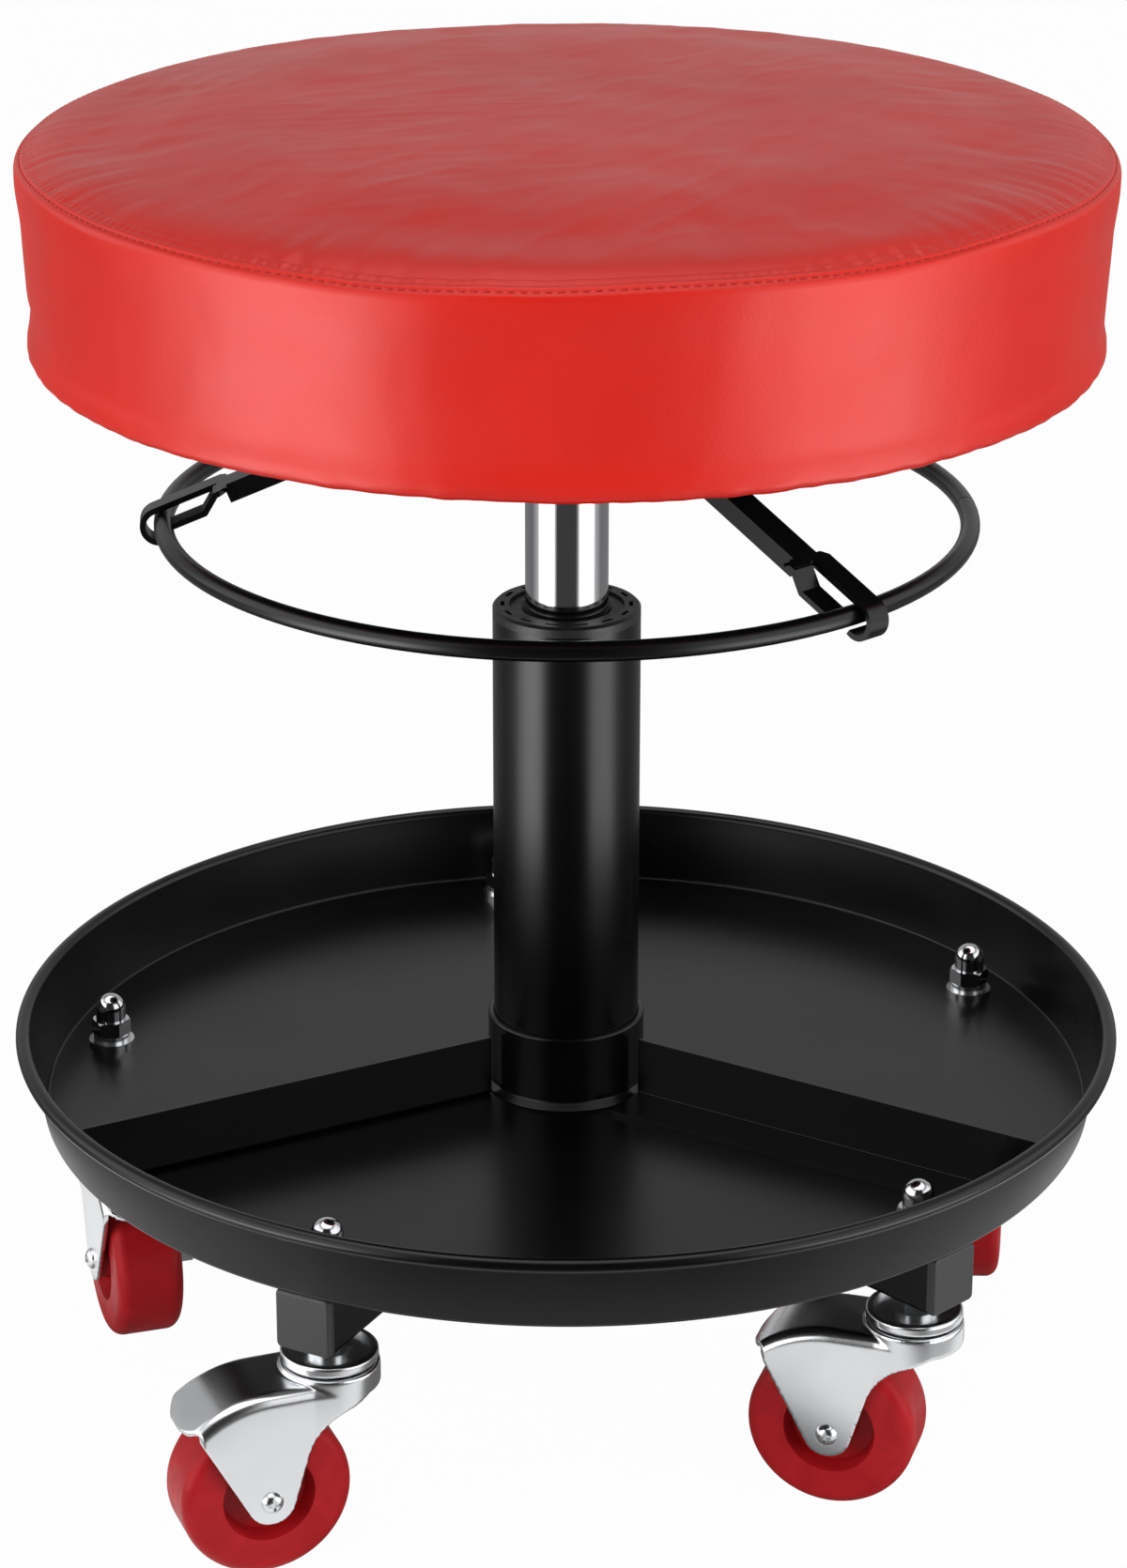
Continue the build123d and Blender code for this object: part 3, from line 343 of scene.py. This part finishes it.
# the small bites next to the seam in front
bite_angle, bite_spread, bite_pitch = -57, 7, 2.6
bite_depth, bite_inset, bite_width = 0.8 * MM, 5 * MM, 3.4 * MM


def smooth(x):
    x = min(1.0, max(0.0, x))
    return x * x * (3 - 2 * x)


def top_height(radius):
    """The height of the cover's top, before its creases."""
    share = radius / seam_radius
    return seam_height + crown_rise * (1 - share ** 2) + shoulder_rise * (1 - share ** shoulder_power)


def cushion_profile(fine):
    """Radius and height from the middle of the underside, round the side, to the middle of the top."""
    inner = foot_radius - foot_round
    low = foot_height + foot_round
    points = [(inner * k / (5 * fine), foot_height) for k in range(5 * fine + 1)]
    for k in range(1, 2 * fine + 1):
        turn = math.pi / 2 * k / (2 * fine)
        points.append((inner + foot_round * math.sin(turn), low - foot_round * math.cos(turn)))
    for k in range(1, 6 * fine + 1):
        share = k / (6 * fine)
        radius = foot_radius + (side_radius - foot_radius) * smooth(share * 1.15)
        points.append((radius, low + (side_top - low) * share))
    for k in range(1, 3 * fine + 1):
        turn = math.pi / 2 * k / (3 * fine)
        points.append((seam_radius + (side_radius - seam_radius) * math.cos(turn),
                       side_top + (seam_height - side_top) * math.sin(turn)))
    for k in range(1, 24 * fine):
        radius = seam_radius * (1 - (k / (24 * fine)) ** 1.35)
        points.append((radius, top_height(radius)))
    return points + [(0.0, top_height(0.0))]


def mesh_object(name, bm, material=None):
    mesh = bpy.data.meshes.new(name)
    bm.to_mesh(mesh)
    bm.free()
    made = bpy.data.objects.new(name, mesh)
    scene.collection.objects.link(made)
    if material:
        mesh.materials.append(material)
    for face in mesh.polygons:
        face.use_smooth = True
    return made


def spun(points, steps):
    """A line of radii and heights turned about the upright axis."""
    bm = bmesh.new()
    verts = [bm.verts.new((r, 0.0, z)) for r, z in points]
    edges = [bm.edges.new(pair) for pair in zip(verts, verts[1:])]
    bmesh.ops.spin(bm, geom=verts + edges, cent=(0, 0, 0), axis=(0, 0, 1), angle=2 * math.pi,
                   steps=steps, use_merge=True)
    bmesh.ops.remove_doubles(bm, verts=bm.verts, dist=weld_gap)
    bmesh.ops.recalc_face_normals(bm, faces=bm.faces)
    return bm


def discard(helper):
    """Removes an object that only served to shape another."""
    mesh = helper.data
    bpy.data.objects.remove(helper)
    bpy.data.meshes.remove(mesh)


def apply_modifiers(piece):
    """The piece's mesh becomes what its modifiers make of it."""
    depsgraph = bpy.context.evaluated_depsgraph_get()
    shaped = bpy.data.meshes.new_from_object(piece.evaluated_get(depsgraph))
    old = piece.data
    piece.modifiers.clear()
    piece.data = shaped
    bpy.data.meshes.remove(old)


def swollen_pad():
    """A slightly smaller pad that pressure swells, held at its seam and underside."""
    smaller = [(r - cushion_start if r > pad_middle else r, z - (cushion_start if z > side_top else 0.0))
               for r, z in cushion_profile(2)]
    pad = mesh_object("pad_form", spun(smaller, pad_steps))
    remesh = pad.modifiers.new("voxels", "REMESH")
    remesh.mode, remesh.voxel_size = "VOXEL", pad_voxel
    apply_modifiers(pad)
    start = [v.co.copy() for v in pad.data.vertices]
    held = pad.vertex_groups.new(name="held")
    for vert in pad.data.vertices:
        radius, height = math.hypot(vert.co.x, vert.co.y), vert.co.z
        near_seam = math.hypot(radius - seam_radius, height - seam_height) < pad_hold
        if height < foot_height + pad_foot_hold or near_seam:
            held.add([vert.index], 1.0, "REPLACE")
    cloth = pad.modifiers.new("swell", "CLOTH")
    settings = cloth.settings
    settings.vertex_group_mass = "held"
    settings.use_pressure = True
    settings.uniform_pressure_force = pad_pressure
    settings.effector_weights.gravity = 0.0
    settings.tension_stiffness = settings.compression_stiffness = pad_stiffness
    settings.quality = pad_quality
    cloth.point_cache.frame_start, cloth.point_cache.frame_end = 1, swell_frames
    for number in range(1, swell_frames + 1):
        scene.frame_set(number)
    apply_modifiers(pad)
    scene.frame_set(1)
    for vert, was in zip(pad.data.vertices, start):
        move = vert.co - was
        if move.length > cushion_cap:
            vert.co = was + move * (cushion_cap / move.length)
    pad.modifiers.new("smooth", "SUBSURF").levels = 1
    apply_modifiers(pad)
    return pad


def ridge(x, width):
    """A soft hump, 1 in its middle."""
    return math.exp(-(x / width) ** 2)


def seam_rise(turn):
    """How far the seam stands above its level at this angle."""
    angle = math.degrees(turn)
    for (first, low), (last, high) in zip(seam_wander, seam_wander[1:]):
        if angle <= last:
            return MM * (low + (high - low) * smooth((angle - first) / (last - first)))
    return 0.0


def facing(turn, angle, spread):
    """1 where the seat's edge is near this angle in degrees, and 0 away from it."""
    away = (math.degrees(turn) - angle + 180) % 360 - 180
    return ridge(away, spread)


def crease(x, y, angle, across, along, seed):
    """A fine ridge pattern that runs at this angle, from 0 to 1."""
    c, s = math.cos(math.radians(angle)), math.sin(math.radians(angle))
    level = noise.noise(Vector(((x * c + y * s) / along, (y * c - x * s) / across, seed)))
    return max(0.0, 1 - 3.2 * abs(level))


def top_relief(radius, turn):
    """The creases of the top panel, which pull towards its seam."""
    from_seam = seam_radius - radius
    x, y = radius * math.cos(turn), radius * math.sin(turn)
    out = 0.0
    for rise, waves, seed in top_swells:
        out += rise * MM * noise.noise(Vector((x * waves, y * waves, seed)))
    patch = smooth(0.5 + 1.5 * noise.noise(Vector((x * 9, y * 9, 9.0))))
    for rise, angle, across, along, seed, in_patches in top_creases:
        out += rise * MM * (patch if in_patches else 1 - patch) * crease(x, y, angle, across, along, seed)
    out *= smooth((from_seam - top_rim) / top_rim_fade)
    gathers = gather_everywhere
    for angle, spread, strength in gather_places:
        gathers += strength * facing(turn, angle, spread)
    gathers *= smooth(from_seam / gather_begin) * (1 - smooth((from_seam - gather_end) / gather_fade))
    around = Vector((math.cos(turn) * gather_waves, math.sin(turn) * gather_waves, from_seam * 6))
    out += gather_rise * gathers * noise.noise(around)
    bites = max(0.0, math.sin(turn * 2 * math.pi / math.radians(bite_pitch)))
    bites *= facing(turn, bite_angle, bite_spread)
    return out - bite_depth * bites * ridge(from_seam - bite_inset, bite_width)


def band_relief(height, turn):
    """The side band is nearly smooth, with one fold low down on the left."""
    x, y = math.cos(turn), math.sin(turn)
    out = 0.4 * MM * noise.noise(Vector((x * 5.5, y * 5.5, height * 14)))
    out += 0.12 * MM * noise.noise(Vector((x * 16, y * 16, height * 40)))
    fold = height - (384 * MM + 1.5 * MM * noise.noise(Vector((x * 3, y * 3, 0.0))))
    out -= 0.8 * MM * facing(turn, -176, 16) * ridge(fold, 3.0 * MM)
    low = height - (374.5 * MM + 1.2 * MM * noise.noise(Vector((x * 2, y * 2, 4.0))))
    return out - 0.3 * MM * facing(turn, -112, 20) * ridge(low, 1.6 * MM)


def follow_pad(cushion, origin):
    """The cushion takes the swollen pad's form, but keeps its own seam and foot."""
    pad = swollen_pad()
    swells = cushion.vertex_groups.new(name="swells")
    for index, (radius, height, _) in enumerate(origin):
        from_seam = math.hypot(radius - seam_radius, height - seam_height)
        fade = top_fade if height > seam_height else band_fade
        share = smooth((from_seam - swell_margin) / fade)
        share *= smooth((height - foot_height - swell_margin) / foot_fade)
        swells.add([index], share, "REPLACE")
    wrap = cushion.modifiers.new("wrap", "SHRINKWRAP")
    wrap.vertex_group = "swells"
    wrap.target, wrap.wrap_method = pad, "NEAREST_SURFACEPOINT"
    apply_modifiers(cushion)
    discard(pad)


def polar_place(vert):
    """Radius, height and angle of a point of the cushion."""
    x, y, z = vert.co
    return math.hypot(x, y), z, math.atan2(y, x)


def make_cushion():
    cushion = mesh_object("seat_cushion", spun(cushion_profile(4), cushion_steps), vinyl)
    origin = [polar_place(vert) for vert in cushion.data.vertices]
    follow_pad(cushion, origin)
    mesh = cushion.data
    normals = [v.normal.copy() for v in mesh.vertices]
    for vert, normal, (radius, height, turn) in zip(mesh.vertices, normals, origin):
        if height > seam_height - 0.05 * MM:
            vert.co += normal * top_relief(radius, turn)
            vert.co.z += seam_rise(turn) * ridge(seam_radius - radius, seam_wander_reach)
        elif height > foot_height + foot_round:
            vert.co += normal * band_relief(height, turn) * smooth((seam_height - height) / (6 * MM))
            vert.co.z += seam_rise(turn) * smooth((height - foot_height) / (seam_height - foot_height))
        else:
            lumps = noise.noise(Vector((math.cos(turn) * 30, math.sin(turn) * 30, 0.5)))
            vert.co += normal * 0.4 * MM * lumps * smooth((radius - 0.12) / 0.05)
    mesh.update()
    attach(cushion, "seat")
    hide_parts("seat_cover_top", "seat_cover_band", "seat_foam")
    return cushion


stitch_pitch = 3.6 * MM
stitch_length = 2.6 * MM
stitch_thick = 0.3 * MM
stitch_inset = 0.5 * MM      # of the stitches, inside the seam
lip_inset = 1.4 * MM         # of the middle of the turned edge
lip_width = 0.65 * MM
lip_height = 0.5 * MM
lip_steps = 5                # round the seat, for each stitch
# the rows of the turned edge's mesh, in mm inside the seam
lip_rows = (-0.9, -0.3, 0.1, 0.4, 0.7, 1.0, 1.4, 1.8, 2.2, 2.7, 3.3, 4.0, 4.8, 5.8)
stitch_count = round(2 * math.pi * seam_radius / stitch_pitch)


def surface_point(tree, radius, turn):
    """The cover's point and normal above this place."""
    hit = tree.ray_cast(Vector((radius * math.cos(turn), radius * math.sin(turn), 0.5)), Vector((0, 0, -1)))
    return hit[0], hit[1]


def lip_level(inset, turn):
    """How far the turned edge of the top panel stands above the cover, with its puckers."""
    pull = 0.5 + 0.5 * math.cos(turn * stitch_count)
    strength = 0.6 + 0.5 * noise.noise(Vector((math.cos(turn) * 6, math.sin(turn) * 6, 1.0)))
    level = lip_height * ridge(inset - lip_inset, lip_width) * (1 - 0.25 * pull * strength)
    level -= 0.2 * MM * ridge(inset - stitch_inset, 0.3 * MM)
    level += 0.34 * MM * strength * (1 - pull) * ridge(inset - 3.0 * MM, 1.1 * MM)
    ends = smooth((inset + 0.9 * MM) / (0.8 * MM)) * (1 - smooth((inset - 4.4 * MM) / (1.3 * MM)))
    return -0.3 * MM + (0.42 * MM + level) * ends


def make_lip(tree):
    """The stitched edge of the top panel, finer than the cushion's own mesh."""
    bm = spun([(seam_radius - inset * MM, 0.0) for inset in lip_rows], stitch_count * lip_steps)
    for vert in bm.verts:
        radius, _, turn = polar_place(vert)
        point, _ = surface_point(tree, min(radius, seam_radius - 0.05 * MM), turn)
        inset = seam_radius - radius
        over = max(0.0, -inset)
        vert.co.z = point.z + lip_level(inset, turn) - over * 1.2
    bmesh.ops.recalc_face_normals(bm, faces=bm.faces)
    if sum(face.normal.z for face in bm.faces) < 0:
        bmesh.ops.reverse_faces(bm, faces=bm.faces)
    made = mesh_object("seam_lip", bm, vinyl)
    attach(made, "seat")
    return made


def make_stitches(tree):
    """Topstitching inside the seam, each stitch a small bent thread in the cover."""
    bm = bmesh.new()
    for index in range(stitch_count):
        turn = 2 * math.pi * (index + 0.5) / stitch_count
        point, normal = surface_point(tree, seam_radius - stitch_inset, turn)
        made = bmesh.ops.create_icosphere(bm, subdivisions=1, radius=1.0)["verts"]
        along = Vector((-math.sin(turn), math.cos(turn), 0.0))
        along = (along - normal * along.dot(normal)).normalized()
        across = normal.cross(along)
        axes = Matrix((along * stitch_length / 2, across * stitch_thick, normal * stitch_thick)).transposed()
        for vert in made:
            vert.co = point + normal * 0.1 * MM + axes @ vert.co
    made = mesh_object("seam_stitches", bm, thread)
    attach(made, "seat")
    return made


cushion = make_cushion()
cover = BVHTree.FromObject(cushion, bpy.context.evaluated_depsgraph_get())
make_lip(cover)
make_stitches(cover)


# ---------------------------------------------------------------- sheet metal

tray_under = 99.0 * MM
tray_gauge = 1.2 * MM
tray_bore_radius = 27.04 * MM
tray_bend_radius = 2.1 * MM
tray_bend_circle = 179.8 * MM
tray_bead_radius = 2.6 * MM
tray_bead_circle = 187.9 * MM
tray_bead_height = 124.5 * MM
tray_bolt_circle = 164.0 * MM
tray_bolt_hole = 4.3 * MM    # radius
tray_drill_length = 8 * MM
tray_steps = 480             # round the tray
first_leg = 98.3             # degrees
leg_step = 72
rounded_above = 42           # degrees between two faces whose edge is rounded
smooth_below = 38            # degrees between two faces that look like one
flat_below = 0.4             # degrees between triangles of one flat face
divider_rounding = 0.7 * MM
socket_rounding = 0.6 * MM
pressing_voxel = 0.45 * MM


def bow(centre, radius, first, last, steps):
    """Points on an arc between two angles in degrees."""
    turns = [math.radians(first + (last - first) * k / steps) for k in range(steps + 1)]
    return [(centre[0] + radius * math.cos(t), centre[1] + radius * math.sin(t)) for t in turns]


def stand_in(made, body, node):
    """The piece rides this body and is shown in the CAD node's place."""
    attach(made, body)
    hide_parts(node)


def shaded(made, body, node):
    """A stand-in whose rounded edges look smooth while its flat faces stay flat."""
    made.data.set_sharp_from_angle(angle=math.radians(smooth_below))
    made.modifiers.new("flats", "WEIGHTED_NORMAL").keep_sharp = True
    stand_in(made, body, node)


def make_tray():
    """The pressed tray in one turn, with its curled rim, finer than the CAD node's mesh."""
    bend = (tray_bend_circle, tray_under + tray_bend_radius)
    bead = (tray_bead_circle, tray_bead_height)
    inner_bend, inner_bead = tray_bend_radius - tray_gauge, tray_bead_radius - tray_gauge
    upper = [(tray_bore_radius, tray_under + tray_gauge)] + bow(bend, inner_bend, -90, 0, 10)
    upper += bow(bead, tray_bead_radius, 180, -120, 40)
    lower = bow(bead, inner_bead, -120, 180, 24) + bow(bend, tray_bend_radius, 0, -90, 10)
    lower += [(tray_bore_radius, tray_under)]
    points = upper + lower
    tray = mesh_object("tray_pressing", spun(points + points[:1], tray_steps), paint)
    drills = bmesh.new()
    for index in range(5):
        turn = math.radians(first_leg + leg_step * index)
        spot = Vector((tray_bolt_circle * math.cos(turn), tray_bolt_circle * math.sin(turn), tray_under))
        bmesh.ops.create_cone(drills, cap_ends=True, segments=32, radius1=tray_bolt_hole,
                              radius2=tray_bolt_hole, depth=tray_drill_length,
                              matrix=Matrix.Translation(spot))
    drill = mesh_object("tray_drills", drills)
    cut = tray.modifiers.new("holes", "BOOLEAN")
    cut.object, cut.operation, cut.solver = drill, "DIFFERENCE", "EXACT"
    apply_modifiers(tray)
    discard(drill)
    shaded(tray, "base", "tray")


def joined_node(name):
    """The CAD node's mesh with its corners joined and each flat face whole."""
    bm = bmesh.new()
    bm.from_mesh(nodes[name].data)
    bmesh.ops.remove_doubles(bm, verts=bm.verts, dist=2 * weld_gap)
    bmesh.ops.dissolve_limit(bm, angle_limit=math.radians(flat_below), verts=bm.verts, edges=bm.edges)
    bmesh.ops.recalc_face_normals(bm, faces=bm.faces)
    return bm


def make_rounded(name, body, width, slot):
    """The CAD node with its sharp edges rounded, so that they catch the light."""
    bm = joined_node(name)
    steep = math.radians(rounded_above)
    sharp = [e for e in bm.edges if len(e.link_faces) == 2 and e.calc_face_angle(0.0) > steep]
    bmesh.ops.bevel(bm, geom=sharp, offset=width, offset_type="OFFSET", segments=3, profile=0.5,
                    affect="EDGES", clamp_overlap=True)
    shaded(mesh_object(name + "_rounded", bm, finishes[slot]), body, name)


def make_pressing(name, body):
    """The CAD node as pressed sheet, its edges and bends flowing softly into each other."""
    made = mesh_object(name + "_pressed", joined_node(name), zinc)
    grid = made.modifiers.new("grid", "REMESH")
    grid.mode, grid.voxel_size = "VOXEL", pressing_voxel
    apply_modifiers(made)
    soft = made.modifiers.new("soft", "SMOOTH")
    soft.factor, soft.iterations = 0.5, 4
    apply_modifiers(made)
    for face in made.data.polygons:
        face.use_smooth = True
    stand_in(made, body, name)


make_tray()
for name in ("divider_rear", "divider_left", "divider_right"):
    make_rounded(name, "base", divider_rounding, "black_paint")
make_rounded("column_socket", "base", socket_rounding, "black_paint")
for number in range(1, 6):
    make_pressing(f"fork_{number}", f"caster_{number}")


# ---------------------------------------------------------------- studio

# how bright the floor and the room look in a mirror, by degrees from the front; the floor's bright bands are
# painted reflections of the side lamps, a glow that only mirrors see
painted_floor_reflection_stops = (
    (-180, 0.25), (-108, 0.2), (-86, 0.6), (-68, 4.6), (-58, 6.0), (-42, 6.0), (-33, 0.8), (-27, 0.05),
    (26, 0.05), (33, 0.7), (41, 4.1), (68, 4.1), (84, 0.6), (106, 0.22), (180, 0.25),
)
room_stops = (
    (-180, 0.68), (-150, 0.64), (-128, 0.5), (-112, 1.9), (-75, 2.4), (-40, 2.4), (-30, 0.1), (-24, 0.04),
    (24, 0.04), (30, 0.1), (40, 1.9), (75, 1.9), (112, 1.5), (128, 0.5), (150, 0.64), (180, 0.68),
)
# painted light and shade on the floor, seen only in mirrors: painted shade under the tray, a painted bright
# ring next to the casters, and a painted dark ring for the tray's wall
painted_mirror_shade_under_tray = 0.15           # how bright the floor looks in a mirror: under the tray,
painted_mirror_light_near_casters = 0.95            # in the ring next to the casters,
painted_mirror_shade_ring = 0.1             # and in the ring that the tray's wall shows
ring_share = 0.06            # of the open floor's level, in that last ring
near_begins = (0.17, 0.2)    # where each ring begins, from the start to the end of the change, in metres
ring_begins = (0.265, 0.285)
open_begins = (0.36, 0.5)
floor_radius = 7.0
floor_white = 0.98           # the rest is matt, and takes a faint shadow
room_fades = (0.55, 0.78)    # the height at which the side lamps end, as the direction's Z
room_high = 0.3              # what is left of them above
overhead_begins = (0.78, 0.88)
overhead_level = 2.0
room_diffuse = 0.32          # how much the room lights matt faces
room_seen = 1.22             # how bright the camera sees the room


def mirrored_level(tree, place, stops):
    """How bright the studio looks in a mirror, by the angle round the upright axis from -Y to +X."""
    parts = shader_node(tree, "ShaderNodeSeparateXYZ")
    plug(tree, parts.inputs[0], place)
    front = arithmetic(tree, "MULTIPLY", parts.outputs["Y"], -1.0)
    angle = arithmetic(tree, "ARCTAN2", parts.outputs["X"], front)
    ramp = shader_node(tree, "ShaderNodeValToRGB")
    plug(tree, ramp.inputs["Fac"], mapped(tree, angle, -math.pi, math.pi))
    peak = max(level for _, level in stops)
    elements = ramp.color_ramp.elements
    while len(elements) > 1:
        elements.remove(elements[-1])
    for index, (degrees, level) in enumerate(stops):
        element = elements[0] if index == 0 else elements.new(degrees / 360 + 0.5)
        element.position = degrees / 360 + 0.5
        element.color = (level / peak,) * 3 + (1.0,)
    return arithmetic(tree, "MULTIPLY", ramp.outputs["Color"], peak), parts.outputs["Z"]


def make_floor():
    """White for the camera, with a faint shadow under the stool; in a mirror it glows with painted
    reflections of the lamps and painted shade.
    """
    bm = bmesh.new()
    bmesh.ops.create_circle(bm, cap_ends=True, segments=96, radius=floor_radius)
    floor = mesh_object("studio_floor", bm)
    made = bpy.data.materials.new("pale_floor_painted_reflections")
    made.use_nodes = True
    tree = made.node_tree
    tree.nodes.clear()
    place = shader_node(tree, "ShaderNodeTexCoord").outputs["Object"]
    # the painted reflections of the side lamps, by the angle round the floor
    far, _ = mirrored_level(tree, place, painted_floor_reflection_stops)
    reach = shader_node(tree, "ShaderNodeVectorMath", operation="LENGTH")
    plug(tree, reach.inputs[0], place)
    level = painted_mirror_shade_under_tray
    ring = arithmetic(tree, "MULTIPLY_ADD", far, ring_share, painted_mirror_shade_ring)
    for (low, high), beyond in ((near_begins, painted_mirror_light_near_casters), (ring_begins, ring), (open_begins, far)):
        away = mapped(tree, reach.outputs["Value"], low, high, kind="SMOOTHSTEP")
        level = mixed(tree, away, level, beyond)
    path = shader_node(tree, "ShaderNodeLightPath")
    mirror = path.outputs["Is Glossy Ray"]
    straight = arithmetic(tree, "ADD", path.outputs["Is Camera Ray"], path.outputs["Is Transmission Ray"])
    seen = arithmetic(tree, "ADD", straight, mirror)
    matt = shader_node(tree, "ShaderNodeBsdfDiffuse")
    matt.inputs["Color"].default_value = (0.8, 0.8, 0.8, 1)
    # the floor glows white for the camera, and in mirrors with its painted reflections and painted shade
    white = shader_node(tree, "ShaderNodeEmission")
    plug(tree, white.inputs["Strength"], mixed(tree, mirror, 1.0, level))
    mix = shader_node(tree, "ShaderNodeMixShader")
    plug(tree, mix.inputs[0], arithmetic(tree, "MULTIPLY", seen, floor_white, clamp=True))
    plug(tree, mix.inputs[1], matt.outputs[0])
    plug(tree, mix.inputs[2], white.outputs[0])
    out = shader_node(tree, "ShaderNodeOutputMaterial")
    plug(tree, out.inputs["Surface"], mix.outputs[0])
    floor.data.materials.append(made)


def make_world():
    """White for the camera; for reflections a studio with soft lamps at both sides and overhead."""
    world = bpy.data.worlds.new("studio")
    scene.world = world
    world.use_nodes = True
    tree = world.node_tree
    tree.nodes.clear()
    direction = shader_node(tree, "ShaderNodeTexCoord").outputs["Generated"]
    level, height = mirrored_level(tree, direction, room_stops)
    lower = mapped(tree, height, *room_fades, 1.0, room_high, kind="SMOOTHSTEP")
    overhead = mapped(tree, height, *overhead_begins, 0.0, overhead_level, kind="SMOOTHSTEP")
    mirror_level = arithmetic(tree, "MULTIPLY_ADD", level, lower, overhead)
    path = shader_node(tree, "ShaderNodeLightPath")
    lit = mixed(tree, path.outputs["Is Glossy Ray"], room_diffuse, mirror_level)
    straight = path.outputs["Is Camera Ray"], path.outputs["Is Transmission Ray"]
    seen = arithmetic(tree, "ADD", *straight, clamp=True)
    back = shader_node(tree, "ShaderNodeBackground")
    plug(tree, back.inputs["Strength"], mixed(tree, seen, lit, room_seen))
    out = shader_node(tree, "ShaderNodeOutputWorld")
    plug(tree, out.inputs["Surface"], back.outputs[0])


# name, azimuth in degrees, distance and height, the lamp's width and height in metres, power in watts
softboxes = (
    ("softbox_left", 215, 1.6, 0.6, 1.3, 1.1, 15.5),
    ("softbox_right", 327, 1.6, 0.6, 1.3, 1.1, 15.5),
    ("softbox_top", 280, 0.9, 1.9, 1.4, 1.2, 7),
)
softbox_target = 0.3         # the height that they look at

camera_lens = 102.5
camera_sensor = 36.0
camera_place = (-1.0 * MM, -1416.2 * MM, 773.6 * MM)
camera_tilt = 68.306         # degrees from looking straight down
camera_roll = 0.089


def make_softbox(name, azimuth, distance, height, wide, tall, power):
    """A soft lamp, hidden from mirrors; in its place mirrors show the room and the floor's painted
    reflection of it.
    """
    lamp = bpy.data.lights.new(name, "AREA")
    lamp.shape, lamp.size, lamp.size_y, lamp.energy = "RECTANGLE", wide, tall, power
    made = bpy.data.objects.new(name, lamp)
    scene.collection.objects.link(made)
    turn = math.radians(azimuth)
    made.location = (distance * math.cos(turn), distance * math.sin(turn), height)
    aim = Vector((0, 0, softbox_target)) - made.location
    made.rotation_euler = aim.to_track_quat("-Z", "Y").to_euler()
    made.visible_glossy = False


def make_camera():
    camera = bpy.data.cameras.new("camera")
    camera.lens, camera.sensor_width, camera.sensor_fit = camera_lens, camera_sensor, "AUTO"
    made = bpy.data.objects.new("camera", camera)
    scene.collection.objects.link(made)
    made.location = camera_place
    tilt = Matrix.Rotation(math.radians(camera_tilt), 3, "X")
    made.rotation_euler = (tilt @ Matrix.Rotation(math.radians(camera_roll), 3, "Z")).to_euler()
    scene.camera = made


make_floor()
make_world()
for softbox in softboxes:
    make_softbox(*softbox)
make_camera()
